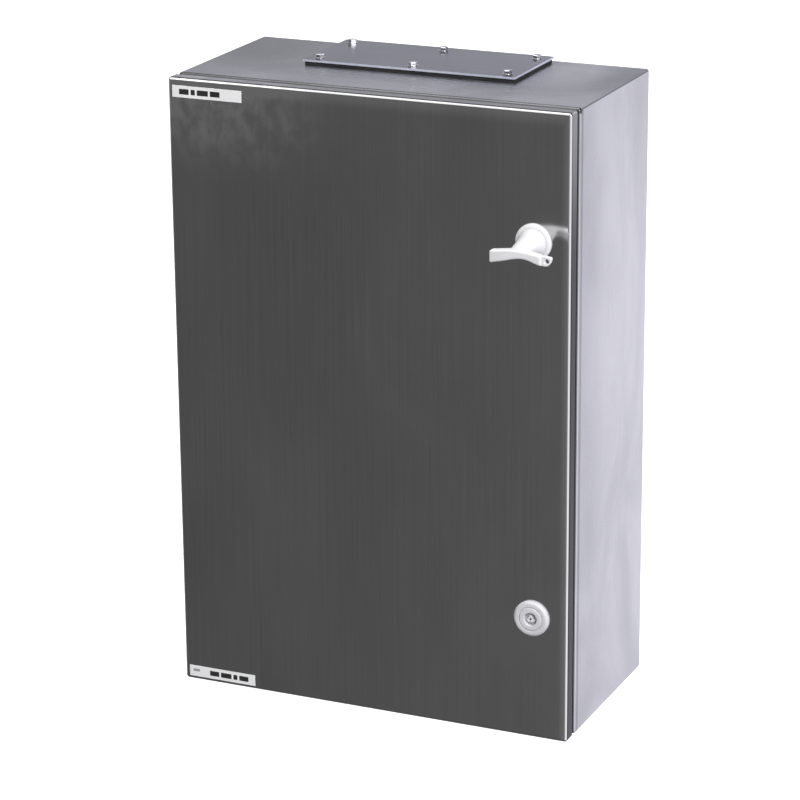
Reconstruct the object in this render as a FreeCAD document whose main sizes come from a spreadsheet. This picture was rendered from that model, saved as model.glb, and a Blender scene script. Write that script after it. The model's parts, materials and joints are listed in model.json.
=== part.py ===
import FreeCAD, Part
import Sketcher
import os
import re

# Wall-mounted fused disconnect switch in a stainless sheet case, in millimetres.
# Origin: centre of the case's back face. X runs right, Y runs back into the wall, Z runs up.

DOC = FreeCAD.newDocument("FusedDisconnectSwitch")
SHEET = DOC.addObject("Spreadsheet::Sheet", "Dims")
VECTOR = FreeCAD.Vector

DIMENSIONS = {
    # case
    "case_width": 400,
    "case_height": 600,
    "case_depth": 200,
    "sheet_thickness": 1.5,
    "bend_radius": 3,
    "door_depth": 13.5,
    "door_gap": 7.5,
    "opening_width": 368,
    "opening_height": 568,
    "opening_corner": 1.5,
    "lip_depth": 13,
    "wall_hole_spacing_across": 360,
    "wall_hole_spacing_up": 560,
    "wall_hole_radius": 4.5,
    # door seal, between the door's inner face and the lip
    "seal_outer_width": 384,
    "seal_band": 14,
    "seal_height": 6.2,
    # hinges
    "hinge_axis_inset": 3.7,
    "hinge_axis_depth": 183,
    "knuckle_radius": 2.9,
    "knuckle_length": 22,
    "hinge_pin_radius": 1.5,
    "hinge_play": 0.05,
    "hinge_spacing": 420,
    "hinge_leaf_thickness": 1.5,
    "hinge_leaf_reach": 187,
    # cable entry plate on the top
    "gland_centre_depth": 55.5,
    "gland_width": 214,
    "gland_length": 98,
    "gland_plate_thickness": 2,
    "gland_seal_thickness": 3,
    "gland_seal_inset": 1.5,
    "gland_window_width": 180,
    "gland_window_length": 56,
    "gland_bolt_across": 95,
    "gland_bolt_along": 36,
    "small_bolt_radius": 2.5,
    "small_head_radius": 4.62,
    "small_head_height": 3.5,
    "small_nut_height": 4,
    # mounting plate inside
    "plate_width": 340,
    "plate_height": 540,
    "plate_thickness": 2,
    "plate_gap": 20.5,
    "plate_stud_across": 155,
    "plate_stud_up": 255,
    "stud_radius": 4,
    "stud_shoulder_radius": 7,
    "stud_end_depth": 34,
    "stud_nut_radius": 7.5,
    "stud_nut_height": 6.5,
    # fittings on the door: rotary handle above, quarter-turn lock below
    "fitting_across": 164.5,
    "fitting_up": 180,
    "rosette_radius": 17.25,
    "rosette_height": 4,
    "rosette_rim_radius": 1.2,
    "barrel_radius": 11,
    "door_hole_radius": 11.25,
    "ring_nut_radius": 13,
    "ring_nut_height": 4,
    "running_play": 0.1,
    # handle
    "stem_radius": 6.5,
    "stem_seat_radius": 5.5,
    "stem_seat_depth": 16,
    "stem_end_depth": 178,
    "handle_barrel_end_depth": 188,
    "socket_depth": 16,
    "socket_side": 6.6,
    "grip_front": 46,
    "grip_thickness": 8.5,
    "grip_half_width": 24.2,
    "grip_left_top": 1.6,
    "grip_right_top": 0.6,
    "grip_crown": 2.6,
    "grip_end_bottom": -9,
    "grip_left_quarter_bottom": -5.8,
    "grip_waist_across": 11,
    "grip_waist_bottom": -3.6,
    "grip_right_quarter_across": 18.6,
    "grip_right_quarter_bottom": -5.4,
    "grip_corner_radius": 1.2,
    "hub_base_radius": 12.5,
    "hub_tip_radius": 6.6,
    "hub_in_grip": 2,
    "padlock_tab_root": 22,
    "padlock_tab_tip": 35.4,
    "padlock_tab_tip_up": -2,
    "padlock_tab_top": -0.2,
    "padlock_tab_shoulder": 30.6,
    "padlock_tab_bottom": -8.6,
    "padlock_tab_thickness": 4.5,
    "padlock_hole_across": 29.5,
    "padlock_hole_up": -3.9,
    "padlock_hole_radius": 2.1,
    # lock
    "lock_recess_radius": 6.2,
    "lock_recess_depth": 8,
    "lock_barrel_end_depth": 181,
    "lock_spindle_radius": 4,
    "lock_thread_radius": 3,
    "lock_insert_radius": 4.9,
    "lock_insert_height": 7.4,
    "lock_insert_corner": 0.8,
    "lock_collar_height": 3,
    "lock_pip_radius": 1.2,
    "lock_pip_depth": 3,
    "lock_step_radius": 11.25,
    "lock_step_height": 0.6,
    "cam_front_depth": 177,
    "cam_thickness": 3,
    "cam_reach": 31.5,
    "cam_width": 14,
    "cam_nut_radius": 5.8,
    "cam_nut_height": 4,
    "cam_thread_beyond": 1,
    # self-adhesive labels at the door's left corners
    "label_width": 71,
    "label_height": 11,
    "label_thickness": 0.3,
    "label_left_inset": 5,
    "label_edge_inset": 7.2,
    "lower_label_edge_inset": 3.5,
    # fuse switch
    "switch_left": -24,
    "switch_right": 148,
    "switch_front": 84,
    "switch_floor": 32,
    "switch_bottom": 25,
    "switch_top": 235,
    "switch_wall": 8,
    "pole_first": 5,
    "pole_pitch": 57,
    "pole_half_width": 24,
    "foot_width": 16,
    "foot_height": 14,
    "foot_screw_radius": 2.5,
    "foot_screw_head_radius": 4.6,
    "foot_screw_head_height": 3.5,
    "foot_screw_beyond": 2,
    "rotor_depth": 54,
    "rotor_radius": 8,
    "rotor_end": 160,
    "rotor_bearing_wall": 2,
    "blade_half_length": 17.5,
    "blade_half_width": 5,
    "blade_thickness": 3,
    "contact_gap": 0.3,
    "jaw_thickness": 2,
    "jaw_height": 14,
    "jaw_clear_of_rotor": 1,
    "rotor_jaw_front": 47,
    "bar_width": 16,
    "bar_thickness": 3,
    "terminal_reach": 23,
    "terminal_clear_of_base": 1,
    "terminal_bolt_radius": 4,
    "terminal_head_radius": 7.5,
    "terminal_head_height": 5.3,
    "terminal_nut_height": 5.5,
    "arc_cover_bottom": 152,
    "arc_cover_thickness": 3,
    "cover_screw_radius": 1.5,
    "cover_screw_head_radius": 2.4,
    "cover_screw_head_height": 2,
    "cover_screw_depth": 8,
    "cover_screw_inset": 2.5,
    # fuses and their carriers
    "fuse_up": 100,
    "fuse_depth": 57.5,
    "fuse_side": 30,
    "fuse_corner": 4,
    "fuse_body_length": 50,
    "fuse_blade_length": 16,
    "fuse_blade_thickness": 6,
    "fuse_blade_width": 15,
    "fuse_jaw_front": 66,
    "fuse_jaw_clear_of_body": 3,
    "carrier_half_width": 27,
    "carrier_half_height": 50,
    "carrier_thickness": 4,
    "carrier_gap": 0.3,
    "carrier_arm_half_width": 8,
    "carrier_arm_height": 10,
    "carrier_arm_up": 17,
    "carrier_grip_half_width": 7,
    "carrier_grip_half_height": 26,
    "carrier_grip_reach": 24,
    "carrier_grip_wall": 6,
    # operating mechanism housing and its shaft
    "gearbox_left": 148,
    "gearbox_right": 181,
    "gearbox_front": 100,
    "gearbox_bottom": 145,
    "gearbox_top": 215,
    "gearbox_wall": 3,
    "gearbox_end_wall": 12,
    "gearbox_corner": 2,
    "gearbox_screw_inset": 6,
    "shaft_side": 6,
    "shaft_front_depth": 186,
    "shaft_journal_radius": 5,
    "shaft_journal_front": 106,
    "shaft_back_depth": 80,
    "shaft_disc_radius": 9,
    "shaft_disc_thickness": 5,
    # protective earth parts
    "earth_bar_left": -140,
    "earth_bar_length": 110,
    "earth_bar_side": 10,
    "earth_bar_up": -215,
    "earth_pillar_height": 12,
    "earth_pillar_radius": 4.5,
    "earth_screw_radius": 2,
    "earth_screw_head_radius": 3.5,
    "earth_screw_height": 3,
    "earth_stud_across": -150,
    "earth_stud_height": 24,
    "earth_stud_depth": 100,
    "earth_nut_radius": 7.5,
    "earth_nut_height": 6.5,
    "door_stud_across": -150,
    "door_stud_up": -255,
    "door_stud_radius": 3,
    "door_stud_length": 14,
    "door_nut_radius": 5.8,
    "door_nut_height": 5,
}

POLES = (0, 1, 2)
SIDES = (-1, 1)
EARTH_SCREWS = 8
TOWARDS = {
    "x": FreeCAD.Rotation(VECTOR(0, 1, 0), 90),
    "y": FreeCAD.Rotation(VECTOR(1, 0, 0), -90),
    "z": FreeCAD.Rotation(),
}
NODES = []
TOLERANCE = 0.01


def fill_sheet():
    for row, (name, value) in enumerate(DIMENSIONS.items(), start=1):
        SHEET.set("A%d" % row, name)
        SHEET.set("B%d" % row, str(value))
        SHEET.setAlias("B%d" % row, name)
    DOC.recompute()


def bind(item, path, formula):
    """Drive a property by a formula in the sheet's dimension names."""
    linked = re.sub(r"\b([a-z]+(?:_[a-z]+)+)\b", r"Dims.\1", str(formula))
    item.setExpression(path, linked)


def bind_place(item, place):
    for axis, formula in zip("xyz", place):
        bind(item, "Placement.Base." + axis, formula)


def node(item, label):
    """Register a finished sub-part under its file name."""
    item.Label = label
    NODES.append(item)
    return item


def block(name, across, depth, up):
    """Box between two formulas along each axis."""
    item = DOC.addObject("Part::Box", name)
    bind_place(item, (across[0], depth[0], up[0]))
    for side, (low, high) in zip(("Length", "Width", "Height"), (across, depth, up)):
        bind(item, side, "(%s) - (%s)" % (high, low))
    return item


def rod(name, axis, start, length, radius):
    """Cylinder from its start point towards the positive axis."""
    item = DOC.addObject("Part::Cylinder", name)
    item.Placement.Rotation = TOWARDS[axis]
    bind_place(item, start)
    bind(item, "Height", length)
    bind(item, "Radius", radius)
    return item


def taper(name, axis, start, length, radius, end_radius):
    item = DOC.addObject("Part::Cone", name)
    item.Placement.Rotation = TOWARDS[axis]
    bind_place(item, start)
    bind(item, "Height", length)
    bind(item, "Radius1", radius)
    bind(item, "Radius2", end_radius)
    return item


def prism(name, axis, start, length, corner_radius, sides=6):
    item = DOC.addObject("Part::Prism", name)
    item.Polygon = sides
    item.Placement.Rotation = TOWARDS[axis]
    bind_place(item, start)
    bind(item, "Height", length)
    bind(item, "Circumradius", corner_radius)
    return item


def join(name, items):
    result = DOC.addObject("Part::MultiFuse", name)
    result.Shapes = items
    result.Refine = True
    return result


def cut(name, base, tools):
    result = DOC.addObject("Part::Cut", name)
    result.Base = base
    result.Tool = tools[0] if len(tools) == 1 else join(name + "Tools", tools)
    result.Refine = True
    return result


def overlap(name, base, tool):
    result = DOC.addObject("Part::Common", name)
    result.Base = base
    result.Tool = tool
    return result


def group(name, items):
    """Several separate solids that share one node."""
    result = DOC.addObject("Part::Compound", name)
    result.Links = items
    return result


def soften(name, base, radius_name, choose):
    """Round the chosen edges of a finished base shape."""
    DOC.recompute()
    radius = getattr(SHEET, radius_name)
    picked = [(index, radius, radius)
              for index, edge in enumerate(base.Shape.Edges, start=1) if choose(edge)]
    result = DOC.addObject("Part::Fillet", name)
    result.Base = base
    result.Edges = picked
    return result


def runs_along(edge, axis):
    """True for a straight edge parallel to an axis."""
    box = edge.BoundBox
    spans = {"x": box.XLength, "y": box.YLength, "z": box.ZLength}
    length = spans.pop(axis)
    return length > TOLERANCE and max(spans.values()) < TOLERANCE


# ---- sketch helpers for the folded sheet parts ----

def new_body(name):
    return DOC.addObject("PartDesign::Body", name)


def sketch_on(body, name, role, offset):
    plane = next(item for item in body.Origin.OriginFeatures if item.Role == role)
    sketch = body.newObject("Sketcher::SketchObject", name)
    sketch.AttachmentSupport = [(plane, "")]
    sketch.MapMode = "FlatFace"
    bind(sketch, "AttachmentOffset.Base.z", offset)
    return sketch


def pin_point(sketch, shape, point, across, up):
    """Hold a sketch point at two formulas measured from the origin."""
    for kind, formula in (("DistanceX", across), ("DistanceY", up)):
        number = sketch.addConstraint(Sketcher.Constraint(kind, -1, 1, shape, point, 1.0))
        bind(sketch, "Constraints[%d]" % number, formula)


def add_rectangle(sketch, across, up):
    """Rectangle held by its lower-left and upper-right corners."""
    first = sketch.GeometryCount
    corners = ((-1, -1), (1, -1), (1, 1), (-1, 1))
    for index, (x, y) in enumerate(corners):
        next_x, next_y = corners[(index + 1) % 4]
        sketch.addGeometry(Part.LineSegment(VECTOR(x, y, 0), VECTOR(next_x, next_y, 0)), False)
    for index in range(4):
        following = first + (index + 1) % 4
        sketch.addConstraint(Sketcher.Constraint("Coincident", first + index, 2, following, 1))
        direction = "Horizontal" if index % 2 == 0 else "Vertical"
        sketch.addConstraint(Sketcher.Constraint(direction, first + index))
    pin_point(sketch, first, 1, across[0], up[0])
    pin_point(sketch, first + 2, 1, across[1], up[1])


def add_circle(sketch, across, up, radius):
    number = sketch.GeometryCount
    sketch.addGeometry(Part.Circle(VECTOR(1, 1, 0), VECTOR(0, 0, 1), 1), False)
    pin_point(sketch, number, 3, across, up)
    held = sketch.addConstraint(Sketcher.Constraint("Radius", number, 1.0))
    bind(sketch, "Constraints[%d]" % held, radius)


def extrude(body, kind, name, sketch, length):
    """Pad runs along the sketch normal, Pocket against it."""
    feature = body.newObject("PartDesign::" + kind, name)
    feature.Profile = sketch
    bind(feature, "Length", length)
    DOC.recompute()
    return feature


def round_body(body, name, base, radius, choose):
    edges = ["Edge%d" % index
             for index, edge in enumerate(base.Shape.Edges, start=1) if choose(edge)]
    feature = body.newObject("PartDesign::Fillet", name)
    feature.Base = (base, edges)
    bind(feature, "Radius", radius)
    DOC.recompute()
    return feature


def half(name):
    return ("-%s / 2" % name, "%s / 2" % name)


# ---- case ----

BODY_FRONT = "case_depth - door_depth - door_gap"


def enclosure_body():
    body = new_body("EnclosureBody")
    outline = sketch_on(body, "CaseOutline", "XZ_Plane", "0")
    add_rectangle(outline, half("case_width"), half("case_height"))
    shell = extrude(body, "Pad", "CaseShell", outline, BODY_FRONT)
    round_body(body, "CaseBends", shell, "bend_radius", lambda edge: True)
    lip_outline = sketch_on(body, "LipOutline", "XZ_Plane", BODY_FRONT)
    add_rectangle(lip_outline,
                  ("-opening_width / 2 - sheet_thickness", "opening_width / 2 + sheet_thickness"),
                  ("-opening_height / 2 - sheet_thickness", "opening_height / 2 + sheet_thickness"))
    lip = extrude(body, "Pad", "Lip", lip_outline, "lip_depth")
    lip_root = SHEET.door_depth + SHEET.door_gap - SHEET.case_depth

    def lip_corner(edge):
        return runs_along(edge, "y") and edge.BoundBox.YMin < lip_root - TOLERANCE

    round_body(body, "LipCorners", lip, "opening_corner + sheet_thickness", lip_corner)
    opening = sketch_on(body, "OpeningOutline", "XZ_Plane", BODY_FRONT + " + lip_depth")
    add_rectangle(opening, half("opening_width"), half("opening_height"))
    mouth = extrude(body, "Pocket", "Opening", opening,
                    BODY_FRONT + " + lip_depth - sheet_thickness")

    def mouth_corner(edge):
        middle = edge.BoundBox.Center
        inside = abs(abs(middle.x) - SHEET.opening_width / 2) < TOLERANCE
        return runs_along(edge, "y") and inside

    round_body(body, "MouthCorners", mouth, "opening_corner", mouth_corner)
    hollow = sketch_on(body, "HollowOutline", "XZ_Plane", BODY_FRONT + " - sheet_thickness")
    add_rectangle(hollow,
                  ("-case_width / 2 + sheet_thickness", "case_width / 2 - sheet_thickness"),
                  ("-case_height / 2 + sheet_thickness", "case_height / 2 - sheet_thickness"))
    extrude(body, "Pocket", "Hollow", hollow, BODY_FRONT + " - 2 * sheet_thickness")
    wall_holes = sketch_on(body, "WallHoles", "XZ_Plane", "2 * sheet_thickness")
    for side in SIDES:
        for level in SIDES:
            add_circle(wall_holes, "%d * wall_hole_spacing_across / 2" % side,
                       "%d * wall_hole_spacing_up / 2" % level, "wall_hole_radius")
    extrude(body, "Pocket", "WallFixing", wall_holes, "2 * sheet_thickness")
    entry = sketch_on(body, "EntryOutline", "XY_Plane", "case_height / 2")
    add_rectangle(entry, half("gland_window_width"),
                  ("-gland_centre_depth - gland_window_length / 2",
                   "-gland_centre_depth + gland_window_length / 2"))
    for across, depth in gland_bolt_places():
        add_circle(entry, across, depth, "small_bolt_radius")
    extrude(body, "Pocket", "CableEntry", entry, "2 * sheet_thickness")
    node(body, "enclosure_body")


def gland_bolt_places():
    return [("%d * gland_bolt_across" % column,
             "-gland_centre_depth + %d * gland_bolt_along" % row)
            for column in (-1, 0, 1) for row in SIDES]


def gland_sheet(name, label, inset, window, base, thickness):
    """Flat frame or plate of the cable entry, drilled for its bolts."""
    body = new_body(name)
    outline = sketch_on(body, name + "Outline", "XY_Plane", base)
    add_rectangle(outline,
                  ("-gland_width / 2 + %s" % inset, "gland_width / 2 - %s" % inset),
                  ("-gland_centre_depth - gland_length / 2 + %s" % inset,
                   "-gland_centre_depth + gland_length / 2 - %s" % inset))
    if window:
        add_rectangle(outline, half("gland_window_width"),
                      ("-gland_centre_depth - gland_window_length / 2",
                       "-gland_centre_depth + gland_window_length / 2"))
    for across, depth in gland_bolt_places():
        add_circle(outline, across, depth, "small_bolt_radius")
    extrude(body, "Pad", name + "Sheet", outline, thickness)
    node(body, label)


def gland_fasteners():
    bolts = []
    nuts = []
    plate_top = "case_height / 2 + gland_seal_thickness + gland_plate_thickness"
    nut_base = "case_height / 2 - sheet_thickness - small_nut_height"
    for number, (across, depth) in enumerate(gland_bolt_places(), start=1):
        name = "GlandBolt%d" % number
        head = prism(name + "Head", "z", (across, depth, plate_top),
                     "small_head_height", "small_head_radius")
        shank = rod(name + "Shank", "z", (across, depth, nut_base),
                    plate_top + " - (%s)" % nut_base, "small_bolt_radius")
        bolts.append(join(name, [head, shank]))
        nut = prism(name + "NutBlank", "z", (across, depth, nut_base),
                    "small_nut_height", "small_head_radius")
        bore = rod(name + "NutBore", "z", (across, depth, nut_base),
                   "small_nut_height", "small_bolt_radius")
        nuts.append(cut(name + "Nut", nut, [bore]))
    node(group("GlandBolts", bolts), "gland_bolts")
    node(group("GlandNuts", nuts), "gland_nuts")


# ---- mounting plate ----

PLATE_BACK = "sheet_thickness + plate_gap"
PLATE_FRONT = PLATE_BACK + " + plate_thickness"


def foot_places():
    left = "switch_left + foot_width / 2"
    right = "switch_right - foot_width / 2"
    low = "switch_bottom - foot_height / 2"
    high = "switch_top + foot_height / 2"
    return [(across, up) for across in (left, right) for up in (low, high)]


def stud_places():
    return [("%d * plate_stud_across" % side, "%d * plate_stud_up" % level)
            for side in SIDES for level in SIDES]


def pillar_places():
    low = "earth_bar_left + earth_bar_side"
    high = "earth_bar_left + earth_bar_length - earth_bar_side"
    return [(low, "earth_bar_up"), (high, "earth_bar_up")]


def mounting_plate():
    body = new_body("MountingPlate")
    outline = sketch_on(body, "PlateOutline", "XZ_Plane", PLATE_BACK)
    add_rectangle(outline, half("plate_width"), half("plate_height"))
    for across, up in stud_places():
        add_circle(outline, across, up, "stud_radius")
    for across, up in foot_places():
        add_circle(outline, across, up, "foot_screw_radius")
    extrude(body, "Pad", "Plate", outline, "plate_thickness")
    node(body, "mounting_plate")


def plate_fasteners():
    studs = []
    nuts = []
    for number, (across, up) in enumerate(stud_places(), start=1):
        name = "PlateStud%d" % number
        shoulder = rod(name + "Shoulder", "y", (across, "-(%s)" % PLATE_BACK, up),
                       "plate_gap", "stud_shoulder_radius")
        thread = rod(name + "Thread", "y", (across, "-stud_end_depth", up),
                     "stud_end_depth - sheet_thickness", "stud_radius")
        studs.append(join(name, [shoulder, thread]))
        nut_front = "-(%s) - stud_nut_height" % PLATE_FRONT
        nut = prism(name + "NutBlank", "y", (across, nut_front, up),
                    "stud_nut_height", "stud_nut_radius")
        bore = rod(name + "NutBore", "y", (across, nut_front, up),
                   "stud_nut_height", "stud_radius")
        nuts.append(cut(name + "Nut", nut, [bore]))
    node(group("PlateStuds", studs), "mounting_studs")
    node(group("PlateNuts", nuts), "mounting_nuts")


# ---- door and hinges ----

DOOR_BACK = "case_depth - door_depth"
DOOR_INSIDE = "case_depth - sheet_thickness"
HINGE_ACROSS = "-case_width / 2 + hinge_axis_inset"


def door_panel():
    body = new_body("DoorPanel")
    outline = sketch_on(body, "DoorOutline", "XZ_Plane", DOOR_BACK)
    add_rectangle(outline, half("case_width"), half("case_height"))
    slab = extrude(body, "Pad", "DoorSlab", outline, "door_depth")
    flange_back = SHEET.door_depth - SHEET.case_depth

    def outer_bend(edge):
        return edge.BoundBox.YMin < flange_back - TOLERANCE

    round_body(body, "DoorBends", slab, "bend_radius", outer_bend)
    hollow = sketch_on(body, "DoorHollow", "XZ_Plane", DOOR_INSIDE)
    add_rectangle(hollow,
                  ("-case_width / 2 + sheet_thickness", "case_width / 2 - sheet_thickness"),
                  ("-case_height / 2 + sheet_thickness", "case_height / 2 - sheet_thickness"))
    extrude(body, "Pocket", "DoorTray", hollow, "door_depth - sheet_thickness")
    holes = sketch_on(body, "FittingHoles", "XZ_Plane", "case_depth")
    for level in SIDES:
        add_circle(holes, "fitting_across", "%d * fitting_up" % level, "door_hole_radius")
    extrude(body, "Pocket", "Fittings", holes, "2 * sheet_thickness")
    node(body, "door_panel")


def door_seal():
    body = new_body("DoorSeal")
    outline = sketch_on(body, "SealOutline", "XZ_Plane", DOOR_INSIDE + " - seal_height")
    taller = "seal_outer_width / 2 + case_height / 2 - case_width / 2"
    add_rectangle(outline, half("seal_outer_width"), ("-(%s)" % taller, taller))
    add_rectangle(outline,
                  ("-seal_outer_width / 2 + seal_band", "seal_outer_width / 2 - seal_band"),
                  ("-(%s) + seal_band" % taller, taller + " - seal_band"))
    extrude(body, "Pad", "SealBand", outline, "seal_height")
    node(body, "door_seal")


def knuckle(name, low, bore_radius):
    """Rolled barrel of a hinge leaf, standing on its lower end."""
    place = (HINGE_ACROSS, "-hinge_axis_depth", low)
    barrel = rod(name + "Barrel", "z", place, "knuckle_length", "knuckle_radius")
    bore = rod(name + "Bore", "z", place, "knuckle_length", bore_radius)
    return barrel, bore


def hinge(side, word):
    """One concealed hinge: case leaf below, door leaf above, on a common pin."""
    middle = "%d * hinge_spacing / 2" % side
    case_low = "(%s) - knuckle_length" % middle
    door_low = "(%s) + contact_gap" % middle
    barrel, bore = knuckle("CaseKnuckle" + word, case_low, "hinge_pin_radius")
    foot = block("CaseLeafFoot" + word,
                 (HINGE_ACROSS, "-hinge_leaf_reach"),
                 ("-(%s) - hinge_leaf_thickness" % BODY_FRONT, "-(%s)" % BODY_FRONT),
                 (case_low, middle))
    solid = join("CaseLeafBlank" + word, [barrel, foot])
    case_leaf = cut("CaseLeaf" + word, solid, [bore])
    barrel, bore = knuckle("DoorKnuckle" + word, door_low, "hinge_pin_radius + hinge_play")
    web = block("DoorLeafWeb" + word,
                ("-case_width / 2 + sheet_thickness",
                 "-case_width / 2 + sheet_thickness + hinge_leaf_thickness"),
                ("-(%s)" % DOOR_INSIDE, "-hinge_axis_depth - hinge_pin_radius"),
                (door_low, "(%s) + knuckle_length" % door_low))
    solid = join("DoorLeafBlank" + word, [barrel, web])
    door_leaf = cut("DoorLeaf" + word, solid, [bore])
    pin = rod("HingePin" + word, "z", (HINGE_ACROSS, "-hinge_axis_depth", case_low),
              "2 * knuckle_length + contact_gap", "hinge_pin_radius")
    return case_leaf, door_leaf, pin


def hinges():
    upper = hinge(1, "Upper")
    lower = hinge(-1, "Lower")
    for name, label, pair in zip(("CaseLeaves", "DoorLeaves", "HingePins"),
                                 ("case_hinge_leaves", "door_hinge_leaves", "hinge_pins"),
                                 zip(upper, lower)):
        node(group(name, list(pair)), label)


def ring_nut(name, label, up):
    """Round nut that clamps a fitting's barrel to the door sheet."""
    back = "-(%s)" % DOOR_INSIDE
    blank = rod(name + "Blank", "y", ("fitting_across", back, up),
                "ring_nut_height", "ring_nut_radius")
    bore = rod(name + "Bore", "y", ("fitting_across", back, up),
               "ring_nut_height", "barrel_radius")
    node(cut(name, blank, [bore]), label)


def rosette(name, up, barrel_end):
    """Round flange on the door with a threaded barrel through the sheet."""
    flange = rod(name + "Flange", "y", ("fitting_across", "-case_depth - rosette_height", up),
                 "rosette_height", "rosette_radius")
    rounded = soften(name + "Rim", flange, "rosette_rim_radius",
                     lambda edge: edge.BoundBox.YMax < -SHEET.case_depth - TOLERANCE)
    barrel = rod(name + "Barrel", "y", ("fitting_across", "-case_depth", up),
                 "case_depth - %s" % barrel_end, "barrel_radius")
    return [rounded, barrel]


# ---- rotary handle ----

def handle_rosette():
    solid = join("HandleRosetteBlank",
                 rosette("HandleRosette", "fitting_up", "handle_barrel_end_depth"))
    bore = rod("HandleRosetteBore", "y",
               ("fitting_across", "-case_depth - 2 * rosette_height", "fitting_up"),
               "4 * rosette_height + case_depth - handle_barrel_end_depth",
               "stem_radius + running_play")
    node(cut("HandleRosetteBody", solid, [bore]), "handle_rosette")
    ring_nut("HandleNut", "handle_ring_nut", "fitting_up")


def plate_from_outline(name, points_of, depth, thickness):
    """Flat piece parallel to the door, from edges given as (across, up) points."""
    def place(point):
        return VECTOR(SHEET.fitting_across + point[0], depth, SHEET.fitting_up + point[1])

    edges = []
    for points in points_of:
        ends = [place(point) for point in points]
        if len(ends) == 3:
            edges.append(Part.Arc(*ends).toShape())
        else:
            edges.append(Part.LineSegment(*ends).toShape())
    item = DOC.addObject("Part::Feature", name)
    item.Shape = Part.Face(Part.Wire(edges)).extrude(VECTOR(0, thickness, 0))
    return item


def handle_grip():
    """Wing grip: nearly level above, hollowed below between its two ends."""
    reach = SHEET.grip_half_width
    left_top = (-reach, SHEET.grip_left_top)
    right_top = (reach, SHEET.grip_right_top)
    right_bottom = (reach, SHEET.grip_end_bottom)
    left_bottom = (-reach, SHEET.grip_end_bottom)
    waist = (SHEET.grip_waist_across, SHEET.grip_waist_bottom)
    left_quarter = ((waist[0] - reach) / 2, SHEET.grip_left_quarter_bottom)
    right_quarter = (SHEET.grip_right_quarter_across, SHEET.grip_right_quarter_bottom)
    outline = [(left_top, (0, SHEET.grip_crown), right_top),
               (right_top, right_bottom),
               (right_bottom, right_quarter, waist),
               (waist, left_quarter, left_bottom),
               (left_bottom, left_top)]
    bar = plate_from_outline("GripBar", outline, -SHEET.case_depth - SHEET.grip_front,
                             SHEET.grip_thickness)

    def corner(edge):
        across = edge.BoundBox.Center.x - SHEET.fitting_across
        return runs_along(edge, "y") and abs(across) > reach - TOLERANCE

    return soften("GripRounded", bar, "grip_corner_radius", corner)


def handle_tab():
    """Pointed tab at the wing's right end, pierced for a padlock or seal."""
    front = (-SHEET.case_depth - SHEET.grip_front
             + (SHEET.grip_thickness - SHEET.padlock_tab_thickness) / 2)
    corners = [(SHEET.padlock_tab_root, SHEET.padlock_tab_top),
               (SHEET.padlock_tab_tip, SHEET.padlock_tab_tip_up),
               (SHEET.padlock_tab_shoulder, SHEET.padlock_tab_bottom),
               (SHEET.padlock_tab_root, SHEET.padlock_tab_bottom)]
    outline = list(zip(corners, corners[1:] + corners[:1]))
    tab = plate_from_outline("PadlockTab", outline, front, SHEET.padlock_tab_thickness)
    hole = rod("PadlockHole", "y",
               ("fitting_across + padlock_hole_across",
                "-case_depth - grip_front",
                "fitting_up + padlock_hole_up"),
               "grip_thickness", "padlock_hole_radius")
    tab = soften("PadlockTabRounded", tab, "grip_corner_radius",
                 lambda edge: runs_along(edge, "y"))
    return tab, hole


def handle_lever():
    hub_start = "-case_depth - grip_front + grip_thickness - hub_in_grip"
    hub = taper("HandleHub", "y", ("fitting_across", hub_start, "fitting_up"),
                "grip_front - grip_thickness + hub_in_grip - rosette_height - contact_gap",
                "hub_tip_radius", "hub_base_radius")
    tab, hole = handle_tab()
    solid = join("HandleBlank", [handle_grip(), hub, tab])
    socket = rod("HandleStemSeat", "y",
                 ("fitting_across", "-case_depth - stem_seat_depth", "fitting_up"),
                 "stem_seat_depth", "stem_seat_radius")
    node(cut("HandleLever", solid, [socket, hole]), "handle_lever")


def handle_stem():
    """Steel-reinforced stem behind the lever, with a square socket for the shaft."""
    seat = rod("StemSeat", "y",
               ("fitting_across", "-case_depth - stem_seat_depth", "fitting_up"),
               "stem_seat_depth - rosette_height - contact_gap", "stem_seat_radius")
    body = rod("StemBody", "y",
               ("fitting_across", "-case_depth - rosette_height - contact_gap", "fitting_up"),
               "case_depth + rosette_height + contact_gap - stem_end_depth", "stem_radius")
    square = block("StemSocket",
                   ("fitting_across - socket_side / 2", "fitting_across + socket_side / 2"),
                   ("-stem_end_depth - socket_depth", "-stem_end_depth"),
                   ("fitting_up - socket_side / 2", "fitting_up + socket_side / 2"))
    node(cut("HandleStem", join("StemBlank", [seat, body]), [square]), "handle_stem")


# ---- quarter-turn lock ----

def lock_housing():
    up = "-fitting_up"
    parts = rosette("LockRosette", up, "lock_barrel_end_depth")
    parts.append(taper("LockStep", "y",
                       ("fitting_across", "-case_depth - rosette_height - lock_step_height", up),
                       "lock_step_height", "lock_step_radius",
                       "lock_step_radius + lock_step_height"))
    front = "-case_depth - rosette_height - lock_step_height"
    recess = rod("LockRecess", "y", ("fitting_across", front, up),
                 "lock_recess_depth + lock_step_height", "lock_recess_radius")
    bore = rod("LockBore", "y", ("fitting_across", front, up),
               "case_depth + rosette_height + lock_step_height - lock_barrel_end_depth",
               "lock_spindle_radius + running_play")
    node(cut("LockHousing", join("LockHousingBlank", parts), [recess, bore]), "lock_housing")
    ring_nut("LockNut", "lock_ring_nut", up)


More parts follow.
